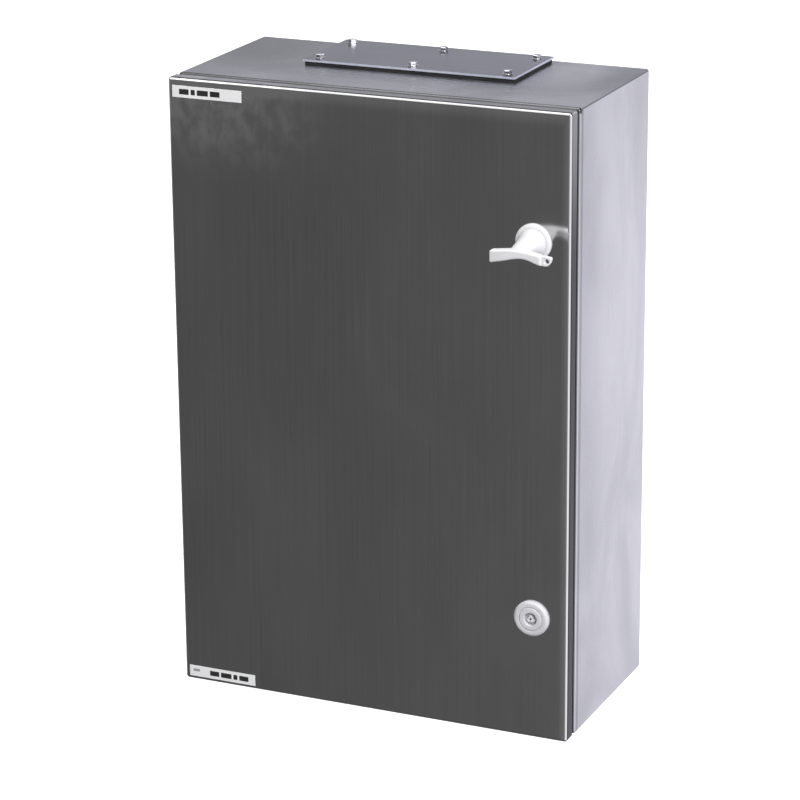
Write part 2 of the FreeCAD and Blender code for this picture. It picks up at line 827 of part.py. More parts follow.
def lock_spindle():
    """Three-sided key insert, its collar and the shaft that carries the cam."""
    up = "-fitting_up"
    recess_floor = "-case_depth - rosette_height + lock_recess_depth"
    collar_front = recess_floor + " - lock_collar_height"
    insert = prism("LockInsert", "y",
                   ("fitting_across", recess_floor + " - lock_insert_height", up),
                   "lock_insert_height", "lock_insert_radius", sides=3)
    insert.Placement.Rotation = FreeCAD.Rotation(VECTOR(0, 1, 0), -90).multiply(TOWARDS["y"])
    insert = soften("LockInsertRounded", insert, "lock_insert_corner",
                    lambda edge: runs_along(edge, "y"))
    pip = rod("LockPip", "y", ("fitting_across", recess_floor + " - lock_insert_height", up),
              "lock_pip_depth", "lock_pip_radius")
    collar = rod("LockCollar", "y", ("fitting_across", collar_front, up),
                 "lock_collar_height - contact_gap", "lock_recess_radius - running_play")
    shaft = rod("LockShaft", "y", ("fitting_across", collar_front, up),
                "-cam_front_depth - (%s)" % collar_front, "lock_spindle_radius")
    thread = rod("LockThread", "y", ("fitting_across", "-cam_front_depth", up),
                 "cam_thickness + cam_nut_height + cam_thread_beyond", "lock_thread_radius")
    solid = join("LockSpindleBlank", [insert, collar, shaft, thread])
    node(cut("LockSpindle", solid, [pip]), "lock_spindle")


def lock_cam():
    """Latch tongue, standing upright while the lock is released."""
    up = "-fitting_up"
    tongue = block("CamTongue",
                   ("fitting_across - cam_width / 2", "fitting_across + cam_width / 2"),
                   ("-cam_front_depth", "-cam_front_depth + cam_thickness"),
                   (up, up + " + cam_reach"))
    eye = rod("CamEye", "y", ("fitting_across", "-cam_front_depth", up),
              "cam_thickness", "cam_width / 2")
    hole = rod("CamHole", "y", ("fitting_across", "-cam_front_depth", up),
               "cam_thickness", "lock_thread_radius")
    node(cut("LockCam", join("CamBlank", [tongue, eye]), [hole]), "lock_cam")
    nut_front = "-cam_front_depth + cam_thickness"
    nut = prism("CamNutBlank", "y", ("fitting_across", nut_front, up),
                "cam_nut_height", "cam_nut_radius")
    bore = rod("CamNutBore", "y", ("fitting_across", nut_front, up),
               "cam_nut_height", "lock_thread_radius")
    node(cut("CamNut", nut, [bore]), "cam_nut")


def labels():
    left = "-case_width / 2 + label_left_inset"
    for name, label, low in (
            ("UpperLabel", "label_upper", "case_height / 2 - label_edge_inset - label_height"),
            ("LowerLabel", "label_lower", "-case_height / 2 + lower_label_edge_inset")):
        item = block(name, (left, left + " + label_width"),
                     ("-case_depth - label_thickness", "-case_depth"),
                     (low, "(%s) + label_height" % low))
        node(item, label)


# ---- fuse switch ----

def pole_centre(pole):
    return "pole_first + %d * pole_pitch" % pole


def about(centre, reach):
    return ("(%s) - (%s)" % (centre, reach), "(%s) + (%s)" % (centre, reach))


def switch_base():
    depth = ("-switch_front", "-(%s)" % PLATE_FRONT)
    blocks = [block("SwitchBlock", ("switch_left", "switch_right"), depth,
                    ("switch_bottom", "switch_top"))]
    tools = []
    for number, (across, up) in enumerate(foot_places(), start=1):
        blocks.append(block("SwitchFoot%d" % number, about(across, "foot_width / 2"),
                            ("-switch_floor", "-(%s)" % PLATE_FRONT),
                            about(up, "foot_height / 2")))
        tools.append(rod("FootHole%d" % number, "y", (across, "-switch_floor", up),
                         "switch_floor", "foot_screw_radius"))
    for pole in POLES:
        centre = pole_centre(pole)
        tools.append(block("PoleChamber%d" % pole, about(centre, "pole_half_width"),
                           ("-switch_front", "-switch_floor"),
                           ("switch_bottom + switch_wall", "switch_top - switch_wall")))
        tools.append(block("BarSlot%d" % pole, about(centre, "bar_width / 2"),
                           ("-switch_floor - bar_thickness", "-switch_floor"),
                           ("switch_bottom", "switch_top")))
    tools.append(rod("RotorBore", "x",
                     ("switch_left + rotor_bearing_wall", "-rotor_depth", "fitting_up"),
                     "switch_right - switch_left", "rotor_radius + running_play"))
    for number, (across, up) in enumerate(cover_screw_places(), start=1):
        tools.append(rod("CoverTap%d" % number, "y", (across, "-switch_front", up),
                         "cover_screw_depth", "cover_screw_radius"))
    node(cut("SwitchBase", join("SwitchBlank", blocks), tools), "switch_base")


def foot_screws():
    screws = []
    for number, (across, up) in enumerate(foot_places(), start=1):
        name = "FootScrew%d" % number
        head = rod(name + "Head", "y", (across, "-switch_floor - foot_screw_head_height", up),
                   "foot_screw_head_height", "foot_screw_head_radius")
        shank = rod(name + "Shank", "y", (across, "-switch_floor", up),
                    "switch_floor - (%s) + foot_screw_beyond" % PLATE_BACK,
                    "foot_screw_radius")
        screws.append(join(name, [head, shank]))
    node(group("FootScrews", screws), "switch_foot_screws")


def cover_screw_places():
    return [(across, up)
            for across in ("switch_left + cover_screw_inset", "switch_right - cover_screw_inset")
            for up in ("arc_cover_bottom + 2 * cover_screw_inset",
                       "switch_top - 2 * cover_screw_inset")]


ARC_COVER_FRONT = "-switch_front - arc_cover_thickness"


def arc_cover():
    """Insulating cover over the switching contacts."""
    sheet = block("ArcCoverSheet", ("switch_left", "switch_right"),
                  (ARC_COVER_FRONT, "-switch_front"), ("arc_cover_bottom", "switch_top"))
    holes = [rod("ArcCoverHole%d" % number, "y", (across, ARC_COVER_FRONT, up),
                 "arc_cover_thickness", "cover_screw_radius")
             for number, (across, up) in enumerate(cover_screw_places(), start=1)]
    node(cut("ArcCover", sheet, holes), "arc_cover")


def cover_screw(name, across, front, up, length):
    head = rod(name + "Head", "y", (across, front + " - cover_screw_head_height", up),
               "cover_screw_head_height", "cover_screw_head_radius")
    shank = rod(name + "Shank", "y", (across, front, up), length, "cover_screw_radius")
    return join(name, [head, shank])


def cover_screws():
    """The small screws of the arc cover and of the mechanism housing."""
    screws = [cover_screw("CoverScrew%d" % number, across, ARC_COVER_FRONT, up,
                          "arc_cover_thickness + cover_screw_depth")
              for number, (across, up) in enumerate(cover_screw_places(), start=1)]
    screws += [cover_screw("GearboxScrew%d" % number, across, "-gearbox_front", up,
                           "cover_screw_depth")
               for number, (across, up) in enumerate(gearbox_screw_places(), start=1)]
    node(group("CoverScrews", screws), "cover_screws")


def jaw(name, centre, gap, front, up):
    """Pair of contact leaves that a blade slides between."""
    inner = "%s / 2 + contact_gap" % gap
    leaves = []
    for side in SIDES:
        edges = ("(%s) + %d * (%s)" % (centre, side, inner),
                 "(%s) + %d * (%s + jaw_thickness)" % (centre, side, inner))
        leaves.append(block("%sLeaf%d" % (name, side + 1), edges if side > 0 else edges[::-1],
                            ("-%s" % front, "-switch_floor - bar_thickness"), up))
    return leaves


def bar(name, centre, up):
    return block(name, about(centre, "bar_width / 2"),
                 ("-switch_floor - bar_thickness", "-switch_floor"), up)


UPPER_JAW = ("fitting_up + rotor_radius + jaw_clear_of_rotor",
             "fitting_up + rotor_radius + jaw_clear_of_rotor + jaw_height")
LOWER_JAW = ("fitting_up - rotor_radius - jaw_clear_of_rotor - jaw_height",
             "fitting_up - rotor_radius - jaw_clear_of_rotor")
FUSE_JAW_START = "fuse_body_length / 2 + fuse_jaw_clear_of_body"
FUSE_TOP_JAW = ("fuse_up + " + FUSE_JAW_START, "fuse_up + %s + jaw_height" % FUSE_JAW_START)
FUSE_BOTTOM_JAW = ("fuse_up - (%s) - jaw_height" % FUSE_JAW_START,
                   "fuse_up - (%s)" % FUSE_JAW_START)
TERMINAL_UP = ("switch_top + terminal_reach / 2 + terminal_clear_of_base",
               "switch_bottom - terminal_reach / 2 - terminal_clear_of_base")


def fixed_contacts():
    for pole in POLES:
        centre = pole_centre(pole)
        number = pole + 1
        line = jaw("LineJaw%d" % pole, centre, "blade_thickness", "rotor_jaw_front", UPPER_JAW)
        line.append(bar("LineBar%d" % pole, centre,
                        (UPPER_JAW[0], "switch_top + terminal_reach")))
        hole = rod("LineHole%d" % pole, "y",
                   (centre, "-switch_floor - bar_thickness", TERMINAL_UP[0]),
                   "bar_thickness", "terminal_bolt_radius")
        node(cut("LineContact%d" % pole, join("LineBlank%d" % pole, line), [hole]),
             "line_contact_%d" % number)
        link = jaw("LinkJaw%d" % pole, centre, "blade_thickness", "rotor_jaw_front", LOWER_JAW)
        link += jaw("FuseTopJaw%d" % pole, centre, "fuse_blade_thickness", "fuse_jaw_front",
                    FUSE_TOP_JAW)
        link.append(bar("LinkBar%d" % pole, centre, (FUSE_TOP_JAW[0], LOWER_JAW[1])))
        node(join("LinkContact%d" % pole, link), "link_contact_%d" % number)
        load = jaw("FuseBottomJaw%d" % pole, centre, "fuse_blade_thickness", "fuse_jaw_front",
                   FUSE_BOTTOM_JAW)
        load.append(bar("LoadBar%d" % pole, centre,
                        ("switch_bottom - terminal_reach", FUSE_BOTTOM_JAW[1])))
        hole = rod("LoadHole%d" % pole, "y",
                   (centre, "-switch_floor - bar_thickness", TERMINAL_UP[1]),
                   "bar_thickness", "terminal_bolt_radius")
        node(cut("LoadContact%d" % pole, join("LoadBlank%d" % pole, load), [hole]),
             "load_contact_%d" % number)


def terminal_fasteners():
    bolts = []
    nuts = []
    front = "-switch_floor - bar_thickness"
    for pole in POLES:
        for row, up in enumerate(TERMINAL_UP):
            name = "TerminalBolt%d%d" % (pole, row)
            centre = pole_centre(pole)
            head = prism(name + "Head", "y", (centre, front + " - terminal_head_height", up),
                         "terminal_head_height", "terminal_head_radius")
            shank = rod(name + "Shank", "y", (centre, front, up),
                        "bar_thickness + terminal_nut_height", "terminal_bolt_radius")
            bolts.append(join(name, [head, shank]))
            blank = prism(name + "NutBlank", "y", (centre, "-switch_floor", up),
                          "terminal_nut_height", "terminal_head_radius")
            bore = rod(name + "NutBore", "y", (centre, "-switch_floor", up),
                       "terminal_nut_height", "terminal_bolt_radius")
            nuts.append(cut(name + "Nut", blank, [bore]))
    node(group("TerminalBolts", bolts), "terminal_bolts")
    node(group("TerminalNuts", nuts), "terminal_nuts")


def rotor():
    """Insulating contact shaft, with one through blade for each pole."""
    left_end = "switch_left + rotor_bearing_wall + contact_gap"
    shaft = rod("RotorShaft", "x", (left_end, "-rotor_depth", "fitting_up"),
                "rotor_end - (%s)" % left_end, "rotor_radius")
    slots = []
    blades = []
    for pole in POLES:
        blades.append(rotor_blade("RotorBlade%d" % pole, pole))
        slots.append(rotor_blade("RotorSlot%d" % pole, pole))
    node(cut("ContactRotor", shaft, slots), "contact_rotor")
    node(group("RotorBlades", blades), "rotor_blades")


def rotor_blade(name, pole):
    return block(name, about(pole_centre(pole), "blade_thickness / 2"),
                 about("-rotor_depth", "blade_half_length"),
                 about("fitting_up", "blade_half_width"))


def fuse_carriers():
    front = "-switch_front - carrier_gap - carrier_thickness"
    for pole in POLES:
        centre = pole_centre(pole)
        name = "Carrier%d" % pole
        parts = [block(name + "Plate", about(centre, "carrier_half_width"),
                       (front, "-switch_front - carrier_gap"),
                       about("fuse_up", "carrier_half_height"))]
        parts.append(block(name + "Grip", about(centre, "carrier_grip_half_width"),
                           (front + " - carrier_grip_reach", front),
                           about("fuse_up", "carrier_grip_half_height")))
        for side in SIDES:
            parts.append(block("%sArm%d" % (name, side + 1),
                               about(centre, "carrier_arm_half_width"),
                               ("-switch_front - carrier_gap", "-fuse_depth - fuse_side / 2"),
                               about("fuse_up + %d * carrier_arm_up" % side,
                                     "carrier_arm_height / 2")))
        window = block(name + "Window", about(centre, "carrier_grip_half_width"),
                       (front + " - carrier_grip_reach + carrier_grip_wall", front),
                       about("fuse_up", "carrier_grip_half_height - carrier_grip_wall"))
        solid = cut(name + "Body", join(name + "Blank", parts), [window])
        node(solid, "fuse_carrier_%d" % (pole + 1))


def fuse_links():
    for pole in POLES:
        centre = pole_centre(pole)
        name = "Fuse%d" % pole
        ceramic = block(name + "Block", about(centre, "fuse_side / 2"),
                        about("-fuse_depth", "fuse_side / 2"),
                        about("fuse_up", "fuse_body_length / 2"))
        ceramic = soften(name + "Ceramic", ceramic, "fuse_corner",
                         lambda edge: runs_along(edge, "z"))
        node(ceramic, "fuse_barrel_%d" % (pole + 1))
        blades = []
        for side in SIDES:
            low = "fuse_up + fuse_body_length / 2"
            high = "fuse_up + fuse_body_length / 2 + fuse_blade_length"
            if side < 0:
                low = "fuse_up - fuse_body_length / 2 - fuse_blade_length"
                high = "fuse_up - fuse_body_length / 2"
            blades.append(block("%sBlade%d" % (name, side + 1),
                                about(centre, "fuse_blade_thickness / 2"),
                                about("-fuse_depth", "fuse_blade_width / 2"), (low, high)))
        node(group(name + "Blades", blades), "fuse_blades_%d" % (pole + 1))


# ---- operating mechanism ----

def gearbox_screw_places():
    return [(across, up)
            for across in ("gearbox_left + gearbox_screw_inset",
                           "gearbox_right - gearbox_screw_inset")
            for up in ("gearbox_bottom + gearbox_screw_inset",
                       "gearbox_top - gearbox_screw_inset")]


def mechanism_housing():
    shell = block("GearboxShell", ("gearbox_left", "gearbox_right"),
                  ("-gearbox_front", "-(%s)" % PLATE_FRONT), ("gearbox_bottom", "gearbox_top"))
    shell = soften("GearboxRounded", shell, "gearbox_corner",
                   lambda edge: runs_along(edge, "y"))
    hollow = block("GearboxHollow",
                   ("gearbox_left + gearbox_wall", "gearbox_right - gearbox_wall"),
                   ("-gearbox_front + gearbox_wall", "-(%s) - gearbox_wall" % PLATE_FRONT),
                   ("gearbox_bottom + gearbox_end_wall", "gearbox_top - gearbox_end_wall"))
    tools = [hollow]
    tools.append(rod("GearboxShaftBore", "y", ("fitting_across", "-gearbox_front", "fitting_up"),
                     "gearbox_wall", "shaft_journal_radius + running_play"))
    tools.append(rod("GearboxRotorBore", "x", ("gearbox_left", "-rotor_depth", "fitting_up"),
                     "gearbox_wall", "rotor_radius + running_play"))
    for number, (across, up) in enumerate(gearbox_screw_places(), start=1):
        tools.append(rod("GearboxTap%d" % number, "y", (across, "-gearbox_front", up),
                         "cover_screw_depth", "cover_screw_radius"))
    node(cut("MechanismHousing", shell, tools), "mechanism_housing")


def drive_shaft():
    """Square operating shaft that reaches the handle's socket when the door is shut."""
    square = block("ShaftSquare",
                   about("fitting_across", "shaft_side / 2"),
                   ("-shaft_front_depth", "-shaft_journal_front"),
                   about("fitting_up", "shaft_side / 2"))
    journal = rod("ShaftJournal", "y", ("fitting_across", "-shaft_journal_front", "fitting_up"),
                  "shaft_journal_front - shaft_back_depth", "shaft_journal_radius")
    disc = rod("ShaftDisc", "y", ("fitting_across", "-shaft_back_depth", "fitting_up"),
               "shaft_disc_thickness", "shaft_disc_radius")
    node(join("DriveShaft", [square, journal, disc]), "drive_shaft")


# ---- protective earth ----

def earth_bar():
    up = about("earth_bar_up", "earth_bar_side / 2")
    back = "-(%s) - earth_pillar_height" % PLATE_FRONT
    front = back + " - earth_bar_side"
    rail = block("EarthRail", ("earth_bar_left", "earth_bar_left + earth_bar_length"),
                 (front, back), up)
    holes = []
    screws = []
    for number in range(EARTH_SCREWS):
        across = "earth_bar_left + (%d + 0.5) * earth_bar_length / %d" % (number, EARTH_SCREWS)
        name = "EarthScrew%d" % number
        holes.append(rod(name + "Tap", "y", (across, front, "earth_bar_up"),
                         "earth_bar_side / 2", "earth_screw_radius"))
        head = rod(name + "Head", "y", (across, front + " - earth_screw_height", "earth_bar_up"),
                   "earth_screw_height", "earth_screw_head_radius")
        shank = rod(name + "Shank", "y", (across, front, "earth_bar_up"),
                    "earth_bar_side / 2", "earth_screw_radius")
        screws.append(join(name, [head, shank]))
    node(cut("EarthBar", rail, holes), "earth_bar")
    node(group("EarthScrews", screws), "earth_bar_screws")
    pillars = [prism("EarthPillar%d" % number, "y", (across, back, level),
                     "earth_pillar_height", "earth_pillar_radius")
               for number, (across, level) in enumerate(pillar_places(), start=1)]
    node(group("EarthPillars", pillars), "earth_bar_pillars")


def earth_studs():
    floor = "-case_height / 2 + sheet_thickness"
    place = ("earth_stud_across", "-earth_stud_depth", floor)
    node(rod("CaseEarthStud", "z", place, "earth_stud_height", "stud_radius"), "earth_stud")
    blank = prism("CaseEarthNutBlank", "z", place, "earth_nut_height", "earth_nut_radius")
    bore = rod("CaseEarthNutBore", "z", place, "earth_nut_height", "stud_radius")
    node(cut("CaseEarthNut", blank, [bore]), "earth_nut")
    place = ("door_stud_across", "-(%s)" % DOOR_INSIDE, "door_stud_up")
    node(rod("DoorEarthStud", "y", place, "door_stud_length", "door_stud_radius"),
         "door_earth_stud")
    blank = prism("DoorEarthNutBlank", "y", place, "door_nut_height", "door_nut_radius")
    bore = rod("DoorEarthNutBore", "y", place, "door_nut_height", "door_stud_radius")
    node(cut("DoorEarthNut", blank, [bore]), "door_earth_nut")


def build():
    fill_sheet()
    enclosure_body()
    gland_sheet("GlandSeal", "gland_seal", "gland_seal_inset", True, "case_height / 2",
                "gland_seal_thickness")
    gland_sheet("GlandPlate", "gland_plate", "0", False,
                "case_height / 2 + gland_seal_thickness", "gland_plate_thickness")
    gland_fasteners()
    mounting_plate()
    plate_fasteners()
    door_panel()
    door_seal()
    hinges()
    handle_rosette()
    handle_lever()
    handle_stem()
    lock_housing()
    lock_spindle()
    lock_cam()
    labels()
    switch_base()
    foot_screws()
    arc_cover()
    fixed_contacts()
    terminal_fasteners()
    rotor()
    fuse_carriers()
    fuse_links()
    mechanism_housing()
    cover_screws()
    drive_shaft()
    earth_bar()
    earth_studs()
    DOC.recompute()


def check_and_write():
    for item in DOC.Objects:
        if "Invalid" in item.State or "Error" in item.State:
            raise RuntimeError("%s did not recompute: %s" % (item.Name, item.State))
    os.makedirs("parts", exist_ok=True)
    for item in NODES:
        shape = item.Shape
        if shape.isNull() or not shape.isValid():
            raise RuntimeError("%s has no valid shape" % item.Label)
        shape.exportStep("parts/%s.step" % item.Label)
        box = shape.BoundBox
        print("%-26s solids %2d  volume %10.0f  x %.1f..%.1f  y %.1f..%.1f  z %.1f..%.1f" % (
            item.Label, len(shape.Solids), shape.Volume, box.XMin, box.XMax,
            box.YMin, box.YMax, box.ZMin, box.ZMax))


build()
check_and_write()
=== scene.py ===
import json
import math

import bmesh
import bpy
from mathutils import Matrix, Vector


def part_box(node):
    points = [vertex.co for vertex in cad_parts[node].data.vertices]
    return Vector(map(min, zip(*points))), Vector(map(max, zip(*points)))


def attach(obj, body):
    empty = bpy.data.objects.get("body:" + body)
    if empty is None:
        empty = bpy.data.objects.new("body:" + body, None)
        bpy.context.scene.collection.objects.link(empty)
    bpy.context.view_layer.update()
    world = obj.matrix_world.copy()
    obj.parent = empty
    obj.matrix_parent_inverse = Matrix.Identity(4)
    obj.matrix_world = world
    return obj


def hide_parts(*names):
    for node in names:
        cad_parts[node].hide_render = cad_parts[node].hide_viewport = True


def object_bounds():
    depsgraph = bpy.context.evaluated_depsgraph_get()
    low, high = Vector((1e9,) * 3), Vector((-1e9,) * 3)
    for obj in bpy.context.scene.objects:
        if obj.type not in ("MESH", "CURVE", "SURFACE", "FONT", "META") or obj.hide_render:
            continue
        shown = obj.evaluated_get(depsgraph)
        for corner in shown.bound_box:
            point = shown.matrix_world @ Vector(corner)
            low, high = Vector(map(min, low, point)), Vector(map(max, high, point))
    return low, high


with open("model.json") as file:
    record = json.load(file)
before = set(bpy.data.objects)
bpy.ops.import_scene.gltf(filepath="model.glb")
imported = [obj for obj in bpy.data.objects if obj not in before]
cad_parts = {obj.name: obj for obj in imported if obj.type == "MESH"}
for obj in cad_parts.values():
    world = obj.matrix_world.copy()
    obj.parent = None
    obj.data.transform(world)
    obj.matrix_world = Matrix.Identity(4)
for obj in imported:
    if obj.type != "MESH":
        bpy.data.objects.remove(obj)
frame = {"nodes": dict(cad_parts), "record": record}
CAD_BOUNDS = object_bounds()
MM = 0.001
DOOR_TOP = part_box("door_panel")[1].z
CASE_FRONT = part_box("case_hinge_leaves")[1].y
HANDLE_AXIS = (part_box("handle_rosette")[0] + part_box("handle_rosette")[1]) / 2
LOCK_AXIS = (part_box("lock_housing")[0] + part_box("lock_housing")[1]) / 2
DOOR_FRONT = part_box("door_panel")[0].y
DOOR_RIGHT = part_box("door_panel")[1].x
SUBJECT = (0.0, -0.1, 0.0)

# The camera that fits the case's corners in the photograph.
LENS = 144.4
SENSOR_WIDTH = 36.0
CAMERA_PLACE = (1.185, -2.764, 0.937)
CAMERA_YAW, CAMERA_PITCH, CAMERA_ROLL = (math.radians(angle) for angle in (24.2, 18.15, -0.49))
FAR_CLIP = 100.0


# ---- camera, light and floor ----

def add_camera():
    data = bpy.data.cameras.new("camera")
    data.lens = LENS
    data.sensor_width = SENSOR_WIDTH
    data.clip_end = FAR_CLIP
    camera = bpy.data.objects.new("camera", data)
    bpy.context.scene.collection.objects.link(camera)
    turn = (Matrix.Rotation(CAMERA_YAW, 4, "Z")
            @ Matrix.Rotation(math.pi / 2 - CAMERA_PITCH, 4, "X")
            @ Matrix.Rotation(CAMERA_ROLL, 4, "Z"))
    camera.matrix_world = Matrix.Translation(Vector(CAMERA_PLACE)) @ turn
    bpy.context.scene.camera = camera


def add_area_light(name, place, size, power):
    """Round light aimed at the middle of the case."""
    data = bpy.data.lights.new(name, "AREA")
    data.shape = "DISK"
    data.size = size
    data.energy = power
    light = bpy.data.objects.new(name, data)
    light.location = place
    aim = Vector(SUBJECT) - Vector(place)
    light.rotation_euler = aim.to_track_quat("-Z", "Y").to_euler()
    bpy.context.scene.collection.objects.link(light)


def use_plain_tones():
    """Dark steel and a white ground need the plain tone curve, not the compressed one."""
    bpy.context.scene.view_settings.view_transform = "Standard"


# Each lobe of light: direction, the cosines at which it begins and is full, strength, colour.
LOBES = (
    ((0.0, 0.0, 1.0), -2.0, -1.0, 0.115, (1.0, 1.0, 1.0)),  # even light all round
    ((0.5, -0.8, -0.3), 0.5, 1.0, 0.16, (1.0, 1.0, 1.0)),  # seen faintly in the door
    ((0.39, 0.87, -0.40), 0.40, 0.93, 0.72, (0.97, 0.96, 1.04)),  # seen in the right side
    ((-0.39, 0.87, 0.31), 0.40, 0.95, 0.30, (0.93, 0.94, 1.06)),  # seen in the top
    ((0.87, -0.45, -0.25), 0.70, 0.92, 1.15, (0.98, 0.97, 1.05)),  # seen in upright bends
    ((-0.30, -0.52, 0.80), 0.82, 0.95, 1.6, (1.0, 1.0, 1.0)),  # seen in the top front bend
    ((-0.95, 0.30, -0.10), 0.60, 0.95, 0.38, (1.0, 1.0, 1.0)),  # seen in left-hand bends
)


def add_world():
    """Soft studio all round, from broad lobes of light that each fade out from one direction."""
    world = bpy.data.worlds.new("studio")
    bpy.context.scene.world = world
    world.use_nodes = True
    tree = world.node_tree
    direction = tree.nodes.new("ShaderNodeTexCoord").outputs["Generated"]
    total = None
    for towards, start, full, strength, colour in LOBES:
        dot = tree.nodes.new("ShaderNodeVectorMath")
        dot.operation = "DOT_PRODUCT"
        dot.inputs[1].default_value = Vector(towards).normalized()
        fade = tree.nodes.new("ShaderNodeMapRange")
        fade.interpolation_type = "SMOOTHSTEP"
        fade.inputs["From Min"].default_value = start
        fade.inputs["From Max"].default_value = full
        tint = tree.nodes.new("ShaderNodeVectorMath")
        tint.operation = "SCALE"
        tint.inputs[0].default_value = Vector(colour) * strength
        tree.links.new(direction, dot.inputs[0])
        tree.links.new(dot.outputs["Value"], fade.inputs["Value"])
        tree.links.new(fade.outputs["Result"], tint.inputs["Scale"])
        if total is None:
            total = tint.outputs["Vector"]
            continue
        both = tree.nodes.new("ShaderNodeVectorMath")
        both.operation = "ADD"
        tree.links.new(total, both.inputs[0])
        tree.links.new(tint.outputs["Vector"], both.inputs[1])
        total = both.outputs["Vector"]
    tree.links.new(total, tree.nodes["Background"].inputs["Color"])


def add_floor():
    """Pale floor level with the case's underside, so bright that it reads as white."""
    mesh = bpy.data.meshes.new("floor")
    half = 30.0
    level = CAD_BOUNDS[0][2]
    corners = [(-half, -half, level), (half, -half, level), (half, half, level),
               (-half, half, level)]
    mesh.from_pydata(corners, [], [(0, 1, 2, 3)])
    floor = bpy.data.objects.new("floor", mesh)
    bpy.context.scene.collection.objects.link(floor)
    material = bpy.data.materials.new("floor")
    material.use_nodes = True
    shader = material.node_tree.nodes["Principled BSDF"]
    shader.inputs["Base Color"].default_value = (0.95, 0.95, 0.95, 1.0)
    shader.inputs["Roughness"].default_value = 0.9
    shader.inputs["Emission Color"].default_value = (1.0, 1.0, 1.0, 1.0)
    shader.inputs["Emission Strength"].default_value = 0.62
    mesh.materials.append(material)
    floor.visible_glossy = False
    floor.visible_diffuse = False


# ---- materials ----

class Surface:
    """A Principled material and the few nodes that give it grain."""

    def __init__(self, name, metallic=0.0, roughness=0.5):
        self.material = bpy.data.materials.new(name)
        self.material.use_nodes = True
        self.tree = self.material.node_tree
        self.shader = self.tree.nodes["Principled BSDF"]
        self.shader.inputs["Metallic"].default_value = metallic
        self.shader.inputs["Roughness"].default_value = roughness

    def noise(self, scale, detail=4.0, distortion=0.0):
        """Noise in the object's own metres, stretched by a scale for each axis."""
        place = self.tree.nodes.new("ShaderNodeTexCoord")
        stretch = self.tree.nodes.new("ShaderNodeMapping")
        stretch.inputs["Scale"].default_value = scale
        noise = self.tree.nodes.new("ShaderNodeTexNoise")
        noise.inputs["Scale"].default_value = 1.0
        noise.inputs["Detail"].default_value = detail
        noise.inputs["Distortion"].default_value = distortion
        self.tree.links.new(place.outputs["Object"], stretch.inputs["Vector"])
        self.tree.links.new(stretch.outputs["Vector"], noise.inputs["Vector"])
        return noise.outputs["Fac"]

    def mix(self, first, second):
        blend = self.tree.nodes.new("ShaderNodeMath")
        blend.operation = "MULTIPLY_ADD"
        blend.inputs[1].default_value = 0.5
        scaled = self.tree.nodes.new("ShaderNodeMath")
        scaled.operation = "MULTIPLY"
        scaled.inputs[1].default_value = 0.5
        self.tree.links.new(second, scaled.inputs[0])
        self.tree.links.new(first, blend.inputs[0])
        self.tree.links.new(scaled.outputs[0], blend.inputs[2])
        return blend.outputs[0]

    def read(self, kind, axis):
        """One axis of the object's own "Object" place or "Normal" direction."""
        place = self.tree.nodes.new("ShaderNodeTexCoord")
        split = self.tree.nodes.new("ShaderNodeSeparateXYZ")
        self.tree.links.new(place.outputs[kind], split.inputs["Vector"])
        return split.outputs[axis]

    def fade(self, value, start, end, low=0.0, high=1.0):
        """Smooth change from low to high as the value goes from start to end."""
        spread = self.tree.nodes.new("ShaderNodeMapRange")
        spread.interpolation_type = "SMOOTHSTEP"
        spread.inputs["From Min"].default_value = start
        spread.inputs["From Max"].default_value = end
        spread.inputs["To Min"].default_value = low
        spread.inputs["To Max"].default_value = high
        self.tree.links.new(value, spread.inputs["Value"])
        return spread.outputs["Result"]

    def math(self, operation, first, second):
        node = self.tree.nodes.new("ShaderNodeMath")
        node.operation = operation
        for socket, value in zip(node.inputs, (first, second)):
            if isinstance(value, float):
                socket.default_value = value
            else:
                self.tree.links.new(value, socket)
        return node.outputs["Value"]

    def blend(self, factor, first, second):
        """First value where the factor is 0, second where it is 1."""
        mixer = self.tree.nodes.new("ShaderNodeMix")
        for name, value in (("Factor", factor), ("A", first), ("B", second)):
            if isinstance(value, float):
                mixer.inputs[name].default_value = value
            else:
                self.tree.links.new(value, mixer.inputs[name])
        return mixer.outputs["Result"]

    def colour(self, factor, low, high, start=0.3, end=0.7, shade=None):
        """Base colour from low to high, times a shade that darkens or lightens it."""
        ramp = self.tree.nodes.new("ShaderNodeValToRGB")
        ramp.color_ramp.elements[0].position = start
        ramp.color_ramp.elements[0].color = (*low, 1.0)
        ramp.color_ramp.elements[1].position = end
        ramp.color_ramp.elements[1].color = (*high, 1.0)
        self.tree.links.new(factor, ramp.inputs["Fac"])
        result = ramp.outputs["Color"]
        if shade is not None:
            scaled = self.tree.nodes.new("ShaderNodeVectorMath")
            scaled.operation = "SCALE"
            self.tree.links.new(result, scaled.inputs[0])
            self.tree.links.new(shade, scaled.inputs["Scale"])
            result = scaled.outputs["Vector"]
        self.tree.links.new(result, self.shader.inputs["Base Color"])

    def rough(self, factor, low, high):
        spread = self.tree.nodes.new("ShaderNodeMapRange")
        spread.inputs["From Min"].default_value = 0.3
        spread.inputs["From Max"].default_value = 0.7
        spread.inputs["To Min"].default_value = low
        spread.inputs["To Max"].default_value = high
        self.tree.links.new(factor, spread.inputs["Value"])
        self.tree.links.new(spread.outputs["Result"], self.shader.inputs["Roughness"])

    def bump(self, factor, strength, distance):
        bump = self.tree.nodes.new("ShaderNodeBump")
        bump.inputs["Strength"].default_value = strength
        bump.inputs["Distance"].default_value = distance
        self.tree.links.new(factor, bump.inputs["Height"])
        self.tree.links.new(bump.outputs["Normal"], self.shader.inputs["Normal"])


# Depths of bump in metres.
GRAIN_DEPTH = 0.00003
MOTTLE_DEPTH = 0.00004
CUT_EDGE_ROUGHNESS = 0.55


